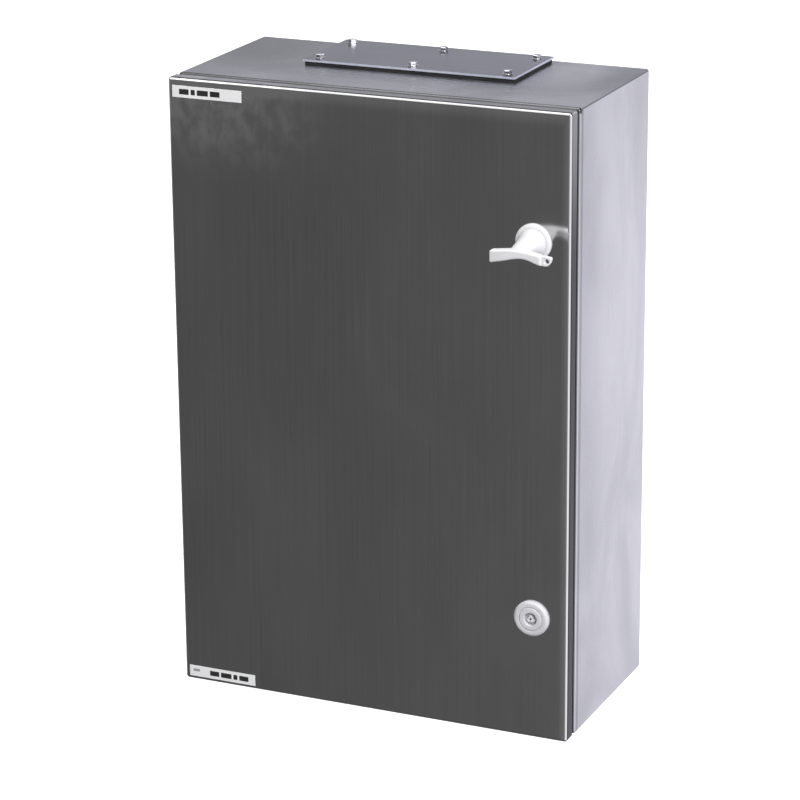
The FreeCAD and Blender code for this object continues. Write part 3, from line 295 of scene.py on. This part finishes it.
def brushed(name, low, high, roughness, shade_of=None, strength=0.12, cut_edges=False):
    """Brushed sheet: fine upright streaks on upright faces, streaks across on level ones."""
    surface = Surface(name, metallic=1.0)
    fine = surface.noise((1500, 1500, 9), detail=5.0)
    broad = surface.noise((330, 330, 5), detail=4.0)
    surface.clouds = clouds = surface.noise((9, 9, 5), detail=4.0, distortion=0.8)
    streaks = surface.mix(fine, broad)
    level = surface.math("ABSOLUTE", surface.read("Normal", "Z"), 0.0)
    grain = surface.blend(level, streaks, surface.mix(clouds, surface.noise((6, 260, 260))))
    shade = shade_of(surface) if shade_of else None
    surface.colour(surface.mix(grain, clouds), low, high, 0.36, 0.64, shade)
    surface.rough(grain, roughness - 0.03, roughness + 0.05)
    if cut_edges:
        dull = surface.fade(level, 0.6, 0.3, roughness, CUT_EDGE_ROUGHNESS)
        surface.tree.links.new(dull, surface.shader.inputs["Roughness"])
    surface.bump(surface.blend(level, streaks, 0.5), strength, GRAIN_DEPTH)
    return surface.material


def painted_edge_highlight(surface):
    """Painted highlight: cut edges up to three times as bright as the sheet's face."""
    level = surface.math("ABSOLUTE", surface.read("Normal", "Z"), 0.0)
    return surface.fade(level, 0.6, 0.3, 1.0, 3.0)


def door_shade(surface):
    """Painted shade on the folded side flange and the top flange, a painted dark line beside the top
    bend, wipe marks by the label, and a painted highlight along the top and right edges.

    The numbers beside an edge are distances from it in metres.
    """
    across, depth, up = (surface.read("Object", axis) for axis in "XYZ")
    # Painted shade: the side flange darkened almost to black low down, less so towards the top.
    side = surface.fade(surface.read("Normal", "X"), 0.80, 0.97)
    lower = surface.fade(up, DOOR_TOP - 0.14, DOOR_TOP, 0.02, 0.45)
    factor = surface.blend(side, 1.0, lower)
    # Painted shade: upward faces at the front of the top bend darkened to a dark line, and the top
    # flange behind them darkened too.
    level = surface.fade(surface.read("Normal", "Z"), 0.72, 0.86)
    top = surface.fade(depth, DOOR_FRONT + 0.0034, DOOR_FRONT + 0.0042, 0.05, 0.66)
    factor = surface.math("MULTIPLY", factor, surface.blend(level, 1.0, top))
    marks = surface.noise((70, 70, 50), detail=7.0, distortion=0.5)
    near = surface.math("MULTIPLY", surface.fade(up, DOOR_TOP - 0.10, DOOR_TOP - 0.02),
                        surface.fade(across, -0.02, -0.12))
    marks = surface.math("MULTIPLY", surface.fade(marks, 0.34, 0.72, 0.25, 1.0), near)
    factor = surface.math("MULTIPLY", factor, surface.blend(marks, 1.0, 1.9))
    # Painted highlight: the front face lightened within a few millimetres of its top and right
    # edges.
    rim = surface.math("MAXIMUM", surface.fade(up, DOOR_TOP - 0.016, DOOR_TOP - 0.002),
                       surface.fade(across, DOOR_RIGHT - 0.010, DOOR_RIGHT - 0.003))
    front = surface.fade(surface.read("Normal", "Y"), -0.95, -0.99)
    rim = surface.math("MULTIPLY", rim, front)
    return surface.math("MULTIPLY", factor, surface.blend(rim, 1.0, 1.45))


def case_shade(surface):
    """Painted shade on the ledge and lip behind the door, on the top front bend, on the bends
    between top and sides and in a line near the front of the sides; a painted darker top with a
    painted reflected streak; painted shade towards the front and top of the sides; and a random
    cloudy tone.
    """
    across, depth, up = (surface.read("Object", axis) for axis in "XYZ")
    behind_door = surface.fade(depth, CASE_FRONT + 0.0012, CASE_FRONT + 0.0004)
    near_front = surface.fade(depth, CASE_FRONT + 0.0046, CASE_FRONT + 0.0034)
    on_top = surface.fade(up, DOOR_TOP - 0.0060, DOOR_TOP - 0.0040)
    # Painted shade: the ledge and lip behind the door darkened, as in the gap.
    dark = surface.math("MULTIPLY", behind_door, 0.80)
    # Painted shade: the case's top front bend darkened to a dark line.
    top_bend = surface.math("MULTIPLY", surface.math("MULTIPLY", near_front, on_top), 0.88)
    dark = surface.math("MAXIMUM", dark, top_bend)
    tilt = surface.read("Normal", "Z")
    # Painted shade: bends between level and upright faces darkened to a dark line along the edges.
    bend = surface.math("MULTIPLY", surface.fade(tilt, 0.15, 0.45), surface.fade(tilt, 0.85, 0.55))
    dark = surface.math("MAXIMUM", dark, surface.math("MULTIPLY", bend, 0.8))
    level = surface.fade(tilt, 0.5, 0.9)
    # Painted reflection: a lighter streak on the top, right of the gland plate, towards the back.
    streak = surface.math("MULTIPLY", surface.fade(across, 0.090, 0.140),
                          surface.fade(across, 0.195, 0.150))
    streak = surface.math("MULTIPLY", streak, surface.fade(depth, -0.150, -0.080))
    # Painted shade: the top darker than the sides, darkest towards the back and on the left.
    top = surface.math("MULTIPLY", surface.fade(depth, -0.06, -0.17, 0.50, 0.72),
                       surface.fade(across, -0.20, -0.10, 0.80, 1.0))
    tone = surface.blend(level, 1.0, surface.blend(streak, top, 0.86))
    # Painted shade: upright faces darker towards the front edge and towards the top.
    margin = surface.fade(depth, CASE_FRONT + 0.090, CASE_FRONT + 0.004, 1.0, 0.84)
    upper = surface.fade(up, DOOR_TOP - 0.22, DOOR_TOP, 1.0, 0.86)
    margin = surface.math("MULTIPLY", margin, upper)
    tone = surface.math("MULTIPLY", tone, surface.blend(level, margin, 1.0))
    tone = surface.math("MULTIPLY", tone, surface.fade(surface.clouds, 0.30, 0.72, 0.90, 1.08))
    # Painted shade: a dark line on the sides a few millimetres behind the front edge.
    line = surface.math("MULTIPLY", surface.fade(depth, CASE_FRONT + 0.0026, CASE_FRONT + 0.0036),
                        surface.fade(depth, CASE_FRONT + 0.0080, CASE_FRONT + 0.0066))
    side = surface.fade(surface.read("Normal", "X"), 0.90, 0.97)
    line = surface.math("MULTIPLY", line, side)
    tone = surface.math("MULTIPLY", tone, surface.blend(line, 1.0, 0.62))
    return surface.math("MULTIPLY", tone, surface.blend(dark, 1.0, 0.07))


WELL_SHADE = 0.14


def dark_well(surface, radius):
    """Painted shade that darkens the round well about the lock's axis."""
    place = surface.tree.nodes.new("ShaderNodeTexCoord")
    flat = surface.tree.nodes.new("ShaderNodeVectorMath")
    flat.operation = "MULTIPLY_ADD"
    flat.inputs[1].default_value = (1.0, 0.0, 1.0)
    flat.inputs[2].default_value = (-LOCK_AXIS.x, 0.0, -LOCK_AXIS.z)
    size = surface.tree.nodes.new("ShaderNodeVectorMath")
    size.operation = "LENGTH"
    surface.tree.links.new(place.outputs["Object"], flat.inputs[0])
    surface.tree.links.new(flat.outputs["Vector"], size.inputs[0])
    return surface.fade(size.outputs["Value"], radius - 0.1 * MM, radius + 0.1 * MM, WELL_SHADE, 1.0)


def machined(name, low, high, roughness):
    """Plain metal with a faint mottle and fine scratches."""
    surface = Surface(name, metallic=1.0)
    mottle = surface.noise((220, 220, 220), detail=6.0)
    surface.colour(mottle, low, high)
    surface.rough(mottle, roughness - 0.06, roughness + 0.08)
    surface.bump(mottle, 0.12, MOTTLE_DEPTH)
    return surface.material


def moulded(name, low, high, roughness, coat=0.0, grain=900, well=None):
    """Moulded plastic, paint or rubber with a fine texture, and painted shade in a round well where
    one is given.
    """
    surface = Surface(name)
    texture = surface.noise((grain, grain, grain), detail=3.0)
    tone = surface.noise((40, 40, 40), detail=2.0)
    surface.colour(tone, low, high, shade=dark_well(surface, well) if well else None)
    surface.rough(texture, roughness - 0.05, roughness + 0.08)
    surface.bump(texture, 0.15, GRAIN_DEPTH)
    surface.shader.inputs["Coat Weight"].default_value = coat
    return surface.material


def make_materials():
    return {
        "brushed_case": brushed("brushed_case", (0.66, 0.66, 0.70), (0.74, 0.74, 0.78), 0.26,
                                case_shade),
        "brushed_door": brushed("brushed_door", (0.51, 0.51, 0.515), (0.61, 0.61, 0.615), 0.11,
                                door_shade),
        # The gland plate's cut edges carry a painted highlight.
        "gland_steel": brushed("gland_steel", (0.24, 0.25, 0.28), (0.31, 0.32, 0.36), 0.20,
                               painted_edge_highlight, cut_edges=True),
        "black_rubber": moulded("black_rubber", (0.010, 0.010, 0.011), (0.022, 0.022, 0.023), 0.7),
        "bright_steel": machined("bright_steel", (0.55, 0.55, 0.58), (0.75, 0.75, 0.78), 0.25),
        "zinc_plate": machined("zinc_plate", (0.50, 0.51, 0.52), (0.66, 0.67, 0.68), 0.42),
        "white_plastic": moulded("white_plastic", (0.71, 0.71, 0.72), (0.77, 0.77, 0.78), 0.32),
        "grey_metal": moulded("grey_metal", (0.60, 0.60, 0.62), (0.67, 0.67, 0.69), 0.38,
                              well=6.1 * MM),
        "zinc_cast": moulded("zinc_cast", (0.62, 0.62, 0.64), (0.76, 0.76, 0.78), 0.35, grain=400,
                             well=1.2 * MM),
        "label_white": moulded("label_white", (0.84, 0.84, 0.84), (0.90, 0.90, 0.90), 0.35),
        "moulded_base": moulded("moulded_base", (0.035, 0.037, 0.040), (0.055, 0.057, 0.060), 0.5),
        "moulded_cover": moulded("moulded_cover", (0.30, 0.31, 0.33), (0.36, 0.37, 0.39), 0.45),
        "carrier_black": moulded("carrier_black", (0.012, 0.012, 0.013), (0.025, 0.025, 0.026), 0.4),
        "ceramic_white": moulded("ceramic_white", (0.74, 0.72, 0.66), (0.82, 0.80, 0.74), 0.25, 0.5),
        "copper_plated": machined("copper_plated", (0.55, 0.50, 0.44), (0.70, 0.66, 0.60), 0.35),
        "brass_bar": machined("brass_bar", (0.62, 0.44, 0.16), (0.78, 0.60, 0.28), 0.30),
    }


def dress_nodes(materials):
    for subpart in frame["record"]["subparts"]:
        piece = frame["nodes"][subpart["node"]]
        for slot in piece.material_slots:
            slot.material = materials[subpart["material_slot"]]


# ---- pieces ----

def add_piece(name, mesh, slot, body, replaced=(), smooth=True):
    """Put a finished mesh in the scene, dressed and riding on its body."""
    piece = bpy.data.objects.new(name, mesh)
    bpy.context.scene.collection.objects.link(piece)
    mesh.materials.clear()
    mesh.materials.append(MATERIALS[slot])
    if smooth:
        mesh.shade_smooth()
    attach(piece, body)
    if replaced:
        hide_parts(*replaced)
    return piece


def revolve(form, profile, centre, segments=96):
    """Surface of revolution about Y from (radius, forward) pairs, in millimetres."""
    rings = []
    for radius, forward in profile:
        place = Vector((centre.x, DOOR_FRONT - forward * MM, centre.z))
        if radius == 0:
            rings.append([form.verts.new(place)] * segments)
            continue
        ring = []
        for step in range(segments):
            angle = 2 * math.pi * step / segments
            offset = Vector((math.cos(angle), 0, math.sin(angle))) * radius * MM
            ring.append(form.verts.new(place + offset))
        rings.append(ring)
    for inner, outer in zip(rings, rings[1:]):
        for step in range(segments):
            following = (step + 1) % segments
            corners = [inner[step], inner[following], outer[following], outer[step]]
            unique = list(dict.fromkeys(corners))
            if len(unique) > 2:
                form.faces.new(unique)


def finished(form, name):
    bmesh.ops.recalc_face_normals(form, faces=form.faces)
    mesh = bpy.data.meshes.new(name)
    form.to_mesh(mesh)
    form.free()
    return mesh


def turned(name, profile, centre):
    form = bmesh.new()
    revolve(form, profile, centre)
    return finished(form, name)


def bent(profile, radius=0.5, steps=4):
    """Round every inner corner of a (radius, forward) profile."""
    result = [profile[0]]
    for before, corner, after in zip(profile, profile[1:], profile[2:]):
        here = Vector(corner)
        to_before = Vector(before) - here
        to_after = Vector(after) - here
        reach = min(radius, to_before.length / 2, to_after.length / 2)
        start = here + to_before.normalized() * reach
        end = here + to_after.normalized() * reach
        for step in range(steps + 1):
            part = step / steps
            first = start.lerp(here, part)
            second = here.lerp(end, part)
            result.append(tuple(first.lerp(second, part)))
    result.append(profile[-1])
    return result


def merge_by_remesh(name, forms, voxel, smoothing):
    """One skin over several closed meshes, with soft inner corners."""
    mesh = finished(forms, name)
    piece = bpy.data.objects.new(name, mesh)
    bpy.context.scene.collection.objects.link(piece)
    remesh = piece.modifiers.new("skin", "REMESH")
    remesh.mode = "VOXEL"
    remesh.voxel_size = voxel
    relax = piece.modifiers.new("relax", "SMOOTH")
    relax.factor = 0.5
    relax.iterations = smoothing
    graph = bpy.context.evaluated_depsgraph_get()
    result = bpy.data.meshes.new_from_object(piece.evaluated_get(graph))
    bpy.data.objects.remove(piece)
    return result


def section_ring(form, across, low, high, front, back, steps=6, corner=1.5):
    """Rounded rectangle across the wing at one station, in millimetres from the handle's axis."""
    middle_up, middle_out = (low + high) / 2, (front + back) / 2
    half_up, half_out = (high - low) / 2, (front - back) / 2
    radius = min(corner, half_up * 0.95, half_out * 0.95)
    ring = []
    for quarter, (up_sign, out_sign) in enumerate(((1, 1), (-1, 1), (-1, -1), (1, -1))):
        for step in range(steps):
            angle = math.pi / 2 * (quarter + step / (steps - 1))
            up = middle_up + up_sign * (half_up - radius) + radius * math.cos(angle)
            out = middle_out + out_sign * (half_out - radius) + radius * math.sin(angle)
            place = Vector((HANDLE_AXIS.x + across * MM, DOOR_FRONT - out * MM,
                            HANDLE_AXIS.z + up * MM))
            ring.append(form.verts.new(place))
    return ring


def loft(form, rings):
    for first, second in zip(rings, rings[1:]):
        count = len(first)
        for step in range(count):
            following = (step + 1) % count
            form.faces.new((first[step], first[following], second[following], second[step]))
    form.faces.new(rings[0])
    form.faces.new(rings[-1][::-1])


def curve_through(points, at):
    """Height at one place on a smooth curve through (place, height) points."""
    slopes = [0.0] * len(points)
    for index in range(1, len(points) - 1):
        before, after = points[index - 1], points[index + 1]
        slopes[index] = (after[1] - before[1]) / (after[0] - before[0])
    slopes[0] = (points[1][1] - points[0][1]) / (points[1][0] - points[0][0])
    slopes[-1] = (points[-1][1] - points[-2][1]) / (points[-1][0] - points[-2][0])
    for index in range(len(points) - 1):
        (start, low), (end, high) = points[index], points[index + 1]
        if at <= end or index == len(points) - 2:
            span = end - start
            part = (at - start) / span
            rest = 1 - part
            return (low * rest * rest * (1 + 2 * part) + high * part * part * (3 - 2 * part)
                    + slopes[index] * span * part * rest * rest
                    - slopes[index + 1] * span * part * part * rest)


# The handle, in millimetres from its axis and forward of the door.
WING_REACH = 24.2
WING_STEPS = 40
WING_END = 1.0  # length of the rounding at each end
WING_END_TRIM = 0.7
WING_FRONT = 46.0
WING_THICKNESS, WING_SWELL = 8.2, 1.6
WING_TOP = ((-WING_REACH, 1.7), (-12, 3.0), (0, 4.0), (12, 3.0), (WING_REACH, 1.0))
WING_BOTTOM = ((-WING_REACH, -9.7), (-11, -6.9), (-1, -4.4), (6, -3.6), (13, -4.7), (18.5, -6.6),
               (WING_REACH, -8.2))
# Hub, as forward of the door, half width, half height, centre's height.
HUB_RINGS = (
    (4.4, 13.2, 13.2, 0.0), (5.6, 13.1, 13.0, 0.0), (9.0, 12.2, 11.2, 0.0), (15.0, 11.2, 9.0, 0.1),
    (23.0, 10.2, 6.9, 0.2), (32.0, 9.0, 5.0, 0.3), (40.0, 8.0, 3.8, 0.2),
)
HANDLE_VOXEL = 0.42
HANDLE_SMOOTHING = 7


def hub_ring(form, out, half_width, half_height, up, segments=64):
    """Ellipse round the handle's axis at one distance from the door."""
    ring = []
    for step in range(segments):
        angle = 2 * math.pi * step / segments
        ring.append(form.verts.new((HANDLE_AXIS.x + half_width * MM * math.cos(angle),
                                    DOOR_FRONT - out * MM,
                                    HANDLE_AXIS.z + (up + half_height * math.sin(angle)) * MM)))
    return ring


def handle_lever():
    """Wing grip, flared hub and pierced tab, moulded in one."""
    form = bmesh.new()
    rings = []
    for step in range(WING_STEPS + 1):
        across = WING_REACH * (2 * step / WING_STEPS - 1)
        near_end = max(0.0, (abs(across) - (WING_REACH - WING_END)) / WING_END)
        trim = WING_END_TRIM * near_end ** 2
        thickness = WING_THICKNESS + WING_SWELL * (1 - (across / WING_REACH) ** 2)
        rings.append(section_ring(form, across,
                                  curve_through(WING_BOTTOM, across) + trim,
                                  curve_through(WING_TOP, across) - trim,
                                  WING_FRONT - trim * 0.6,
                                  WING_FRONT - thickness + trim * 0.6))
    loft(form, rings)
    loft(form, [hub_ring(form, *ring) for ring in HUB_RINGS])
    add_tab(form)
    mesh = merge_by_remesh("handle_lever_moulding", form, HANDLE_VOXEL * MM, HANDLE_SMOOTHING)
    add_piece("handle_lever_moulding", mesh, "white_plastic", "handle", ["handle_lever"])


TAB_HOLE = (29.5, -3.9)
TAB_HOLE_RADIUS = 2.1
TAB_FRONT, TAB_BACK = WING_FRONT - 2.0, WING_FRONT - 6.5
TAB_OUTLINE = ((21.0, 0.8), (27.5, 0.9), (33.2, 0.1), (34.2, -1.2), (32.8, -5.2), (31.0, -7.6),
               (29.4, -8.4), (21.0, -8.0))


def add_tab(form):
    """Pointed tab with a round hole: walls, and faces bridged from outline to hole."""
    count = 32
    outer, inner = [], []
    for step in range(count):
        angle = 2 * math.pi * step / count
        ray = Vector((math.cos(angle), math.sin(angle)))
        outer.append(outline_hit(ray))
        inner.append(Vector(TAB_HOLE) + ray * TAB_HOLE_RADIUS)
    loops = []
    for out in (TAB_FRONT, TAB_BACK):
        for ring in (outer, inner):
            loops.append([form.verts.new(Vector((HANDLE_AXIS.x + point.x * MM,
                                                 DOOR_FRONT - out * MM,
                                                 HANDLE_AXIS.z + point.y * MM)))
                          for point in ring])
    front_outer, front_inner, back_outer, back_inner = loops
    for first, second in ((front_outer, front_inner), (front_inner, back_inner),
                          (back_inner, back_outer), (back_outer, front_outer)):
        for step in range(count):
            following = (step + 1) % count
            form.faces.new((first[step], first[following], second[following], second[step]))


def outline_hit(ray, slack=1e-6, parallel=1e-9):
    """Where a ray from the hole's centre leaves the tab's outline."""
    start = Vector(TAB_HOLE)
    best = None
    for first, second in zip(TAB_OUTLINE, TAB_OUTLINE[1:] + TAB_OUTLINE[:1]):
        first, second = Vector(first), Vector(second)
        edge = second - first
        cross = ray.x * edge.y - ray.y * edge.x
        if abs(cross) < parallel:
            continue
        gap = first - start
        along = (gap.x * edge.y - gap.y * edge.x) / cross
        share = (gap.x * ray.y - gap.y * ray.x) / cross
        if along > 0 and -slack <= share <= 1 + slack and (best is None or along < best):
            best = along
    return start + ray * best


# Half sections of the two discs, as (radius, forward of the door) in millimetres.
ROSETTE_PROFILE = ((6.6, 3.4), (9.0, 3.7), (14.6, 3.4), (16.2, 2.9), (17.25, 1.6), (17.25, 0.0),
                   (11.0, 0.0), (11.0, -12.0), (6.6, -12.0), (6.6, 3.4))
LOCK_PROFILE = ((6.2, -4.0), (6.2, 4.0), (6.7, 4.6), (10.6, 4.6), (10.9, 3.4), (11.7, 3.4),
                (12.1, 4.3), (15.2, 4.1), (17.25, 2.0), (17.25, 0.0), (11.0, 0.0),
                (11.0, -19.0), (4.15, -19.0), (4.15, -4.0), (6.2, -4.0))


def handle_rosette():
    """Domed white flange under the handle, with its threaded barrel through the door."""
    mesh = turned("handle_rosette_moulding", bent(ROSETTE_PROFILE, 0.5), HANDLE_AXIS)
    add_piece("handle_rosette_moulding", mesh, "white_plastic", "door", ["handle_rosette"])


def lock_housing():
    """Light grey flange with a bevelled rim, a shallow step and a round key recess."""
    mesh = turned("lock_housing_casting", bent(LOCK_PROFILE, 0.35), LOCK_AXIS)
    add_piece("lock_housing_casting", mesh, "grey_metal", "door", ["lock_housing"])


# Bars on each label as shares of its width, and all bars as a share of its height. The block and
# the ink are in metres.
LABEL_BARS = (
    ("label_upper", ((0.10, 0.24), (0.27, 0.33), (0.36, 0.52), (0.55, 0.69))),
    ("label_lower", ((0.31, 0.45), (0.48, 0.64), (0.67, 0.73), (0.76, 0.90))),
)
BAR_LOW, BAR_HIGH = 0.27, 0.73
BLOCK_ACROSS = (0.004, 0.011)  # from the lower label's left edge
BLOCK_UP = (0.0052, 0.0078)  # from its bottom edge
INK_HEIGHT = 0.00006
INK_CORNER = 0.0003


def label_print():
    """Plain bars and a small block on the two labels: no lettering and no mark."""
    for node, bars in LABEL_BARS:
        low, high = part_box(node)
        width, height = high.x - low.x, high.z - low.z
        form = bmesh.new()
        for start, end in bars:
            add_patch(form, low.x + start * width, low.x + end * width,
                      low.z + BAR_LOW * height, low.z + BAR_HIGH * height, low.y)
        mesh = finished(form, node + "_bars")
        add_piece(node + "_bars", mesh, "black_rubber", "door", smooth=False)
    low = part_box("label_lower")[0]
    form = bmesh.new()
    add_patch(form, low.x + BLOCK_ACROSS[0], low.x + BLOCK_ACROSS[1],
              low.z + BLOCK_UP[0], low.z + BLOCK_UP[1], low.y)
    mesh = finished(form, "label_lower_block")
    add_piece("label_lower_block", mesh, "moulded_cover", "door", smooth=False)


def add_patch(form, left, right, low, high, surface):
    """Thin raised rectangle of ink with slightly cut corners."""
    cut = INK_CORNER
    outline = [(left + cut, low), (right - cut, low), (right, low + cut), (right, high - cut),
               (right - cut, high), (left + cut, high), (left, high - cut), (left, low + cut)]
    face = form.faces.new([form.verts.new((x, surface, z)) for x, z in outline])
    grown = bmesh.ops.extrude_face_region(form, geom=[face])
    moved = [item for item in grown["geom"] if isinstance(item, bmesh.types.BMVert)]
    bmesh.ops.translate(form, verts=moved, vec=(0, -INK_HEIGHT, 0))


# Hexagon bolt from the tip up, each level as radius, height over the plate and sides:
# shank, washer face, hexagon and chamfer.
ROUND, HEXAGON = 24, 6
BOLT_LEVELS = ((4.9, 0.0, ROUND), (4.9, 0.5, ROUND), (4.45, 0.5, HEXAGON), (4.45, 3.1, HEXAGON),
               (3.9, 3.5, HEXAGON))
SHANK_RADIUS = 2.4
HEAD_HALF_CORNERS, HEAD_HALF_FLATS = 4.62, 4.0
TURN_PER_METRE = 40  # so that no two heads stand alike
BOLT_BEVEL = 0.15


def gland_bolt_heads():
    """Chamfered hexagon bolts on the gland plate, each head on a thin washer face."""
    low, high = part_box("gland_bolts")
    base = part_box("gland_plate")[1].z
    across = HEAD_HALF_CORNERS * MM
    along = HEAD_HALF_FLATS * MM
    columns = (low.x + across, (low.x + high.x) / 2, high.x - across)
    rows = (low.y + along, high.y - along)
    form = bmesh.new()
    for column in columns:
        for row in rows:
            add_bolt(form, column, row, base, (low.z - base) / MM,
                     (column + row) * TURN_PER_METRE)
    mesh = finished(form, "gland_bolt_heads")
    piece = add_piece("gland_bolt_heads", mesh, "bright_steel", "cabinet", ["gland_bolts"],
                      smooth=False)
    bevel = piece.modifiers.new("edges", "BEVEL")
    bevel.width = BOLT_BEVEL * MM
    bevel.segments = 2


def add_bolt(form, x, y, base, tip, turn):
    """One bolt on the plate at base, its tip that many millimetres over it, so below 0."""
    levels = ((SHANK_RADIUS, tip, ROUND), (SHANK_RADIUS, 0.0, ROUND), *BOLT_LEVELS)
    rings = []
    for radius, height, sides in levels:
        ring = []
        for step in range(ROUND):
            angle = 2 * math.pi * step / ROUND
            flat = 1.0
            if sides == HEXAGON:
                sector = angle % (math.pi / 3) - math.pi / 6
                flat = math.cos(math.pi / 6) / math.cos(sector)
            ring.append(form.verts.new((x + radius * flat * MM * math.cos(angle + turn),
                                        y + radius * flat * MM * math.sin(angle + turn),
                                        base + height * MM)))
        rings.append(ring)
    loft(form, rings)


add_camera()
use_plain_tones()
add_world()
add_floor()
add_area_light("key", (2.4, -2.2, 2.2), size=2.0, power=112.0)
add_area_light("top", (-0.5, 0.6, 3.6), size=3.0, power=95.0)
MATERIALS = make_materials()
dress_nodes(MATERIALS)
handle_lever()
handle_rosette()
lock_housing()
label_print()
gland_bolt_heads()
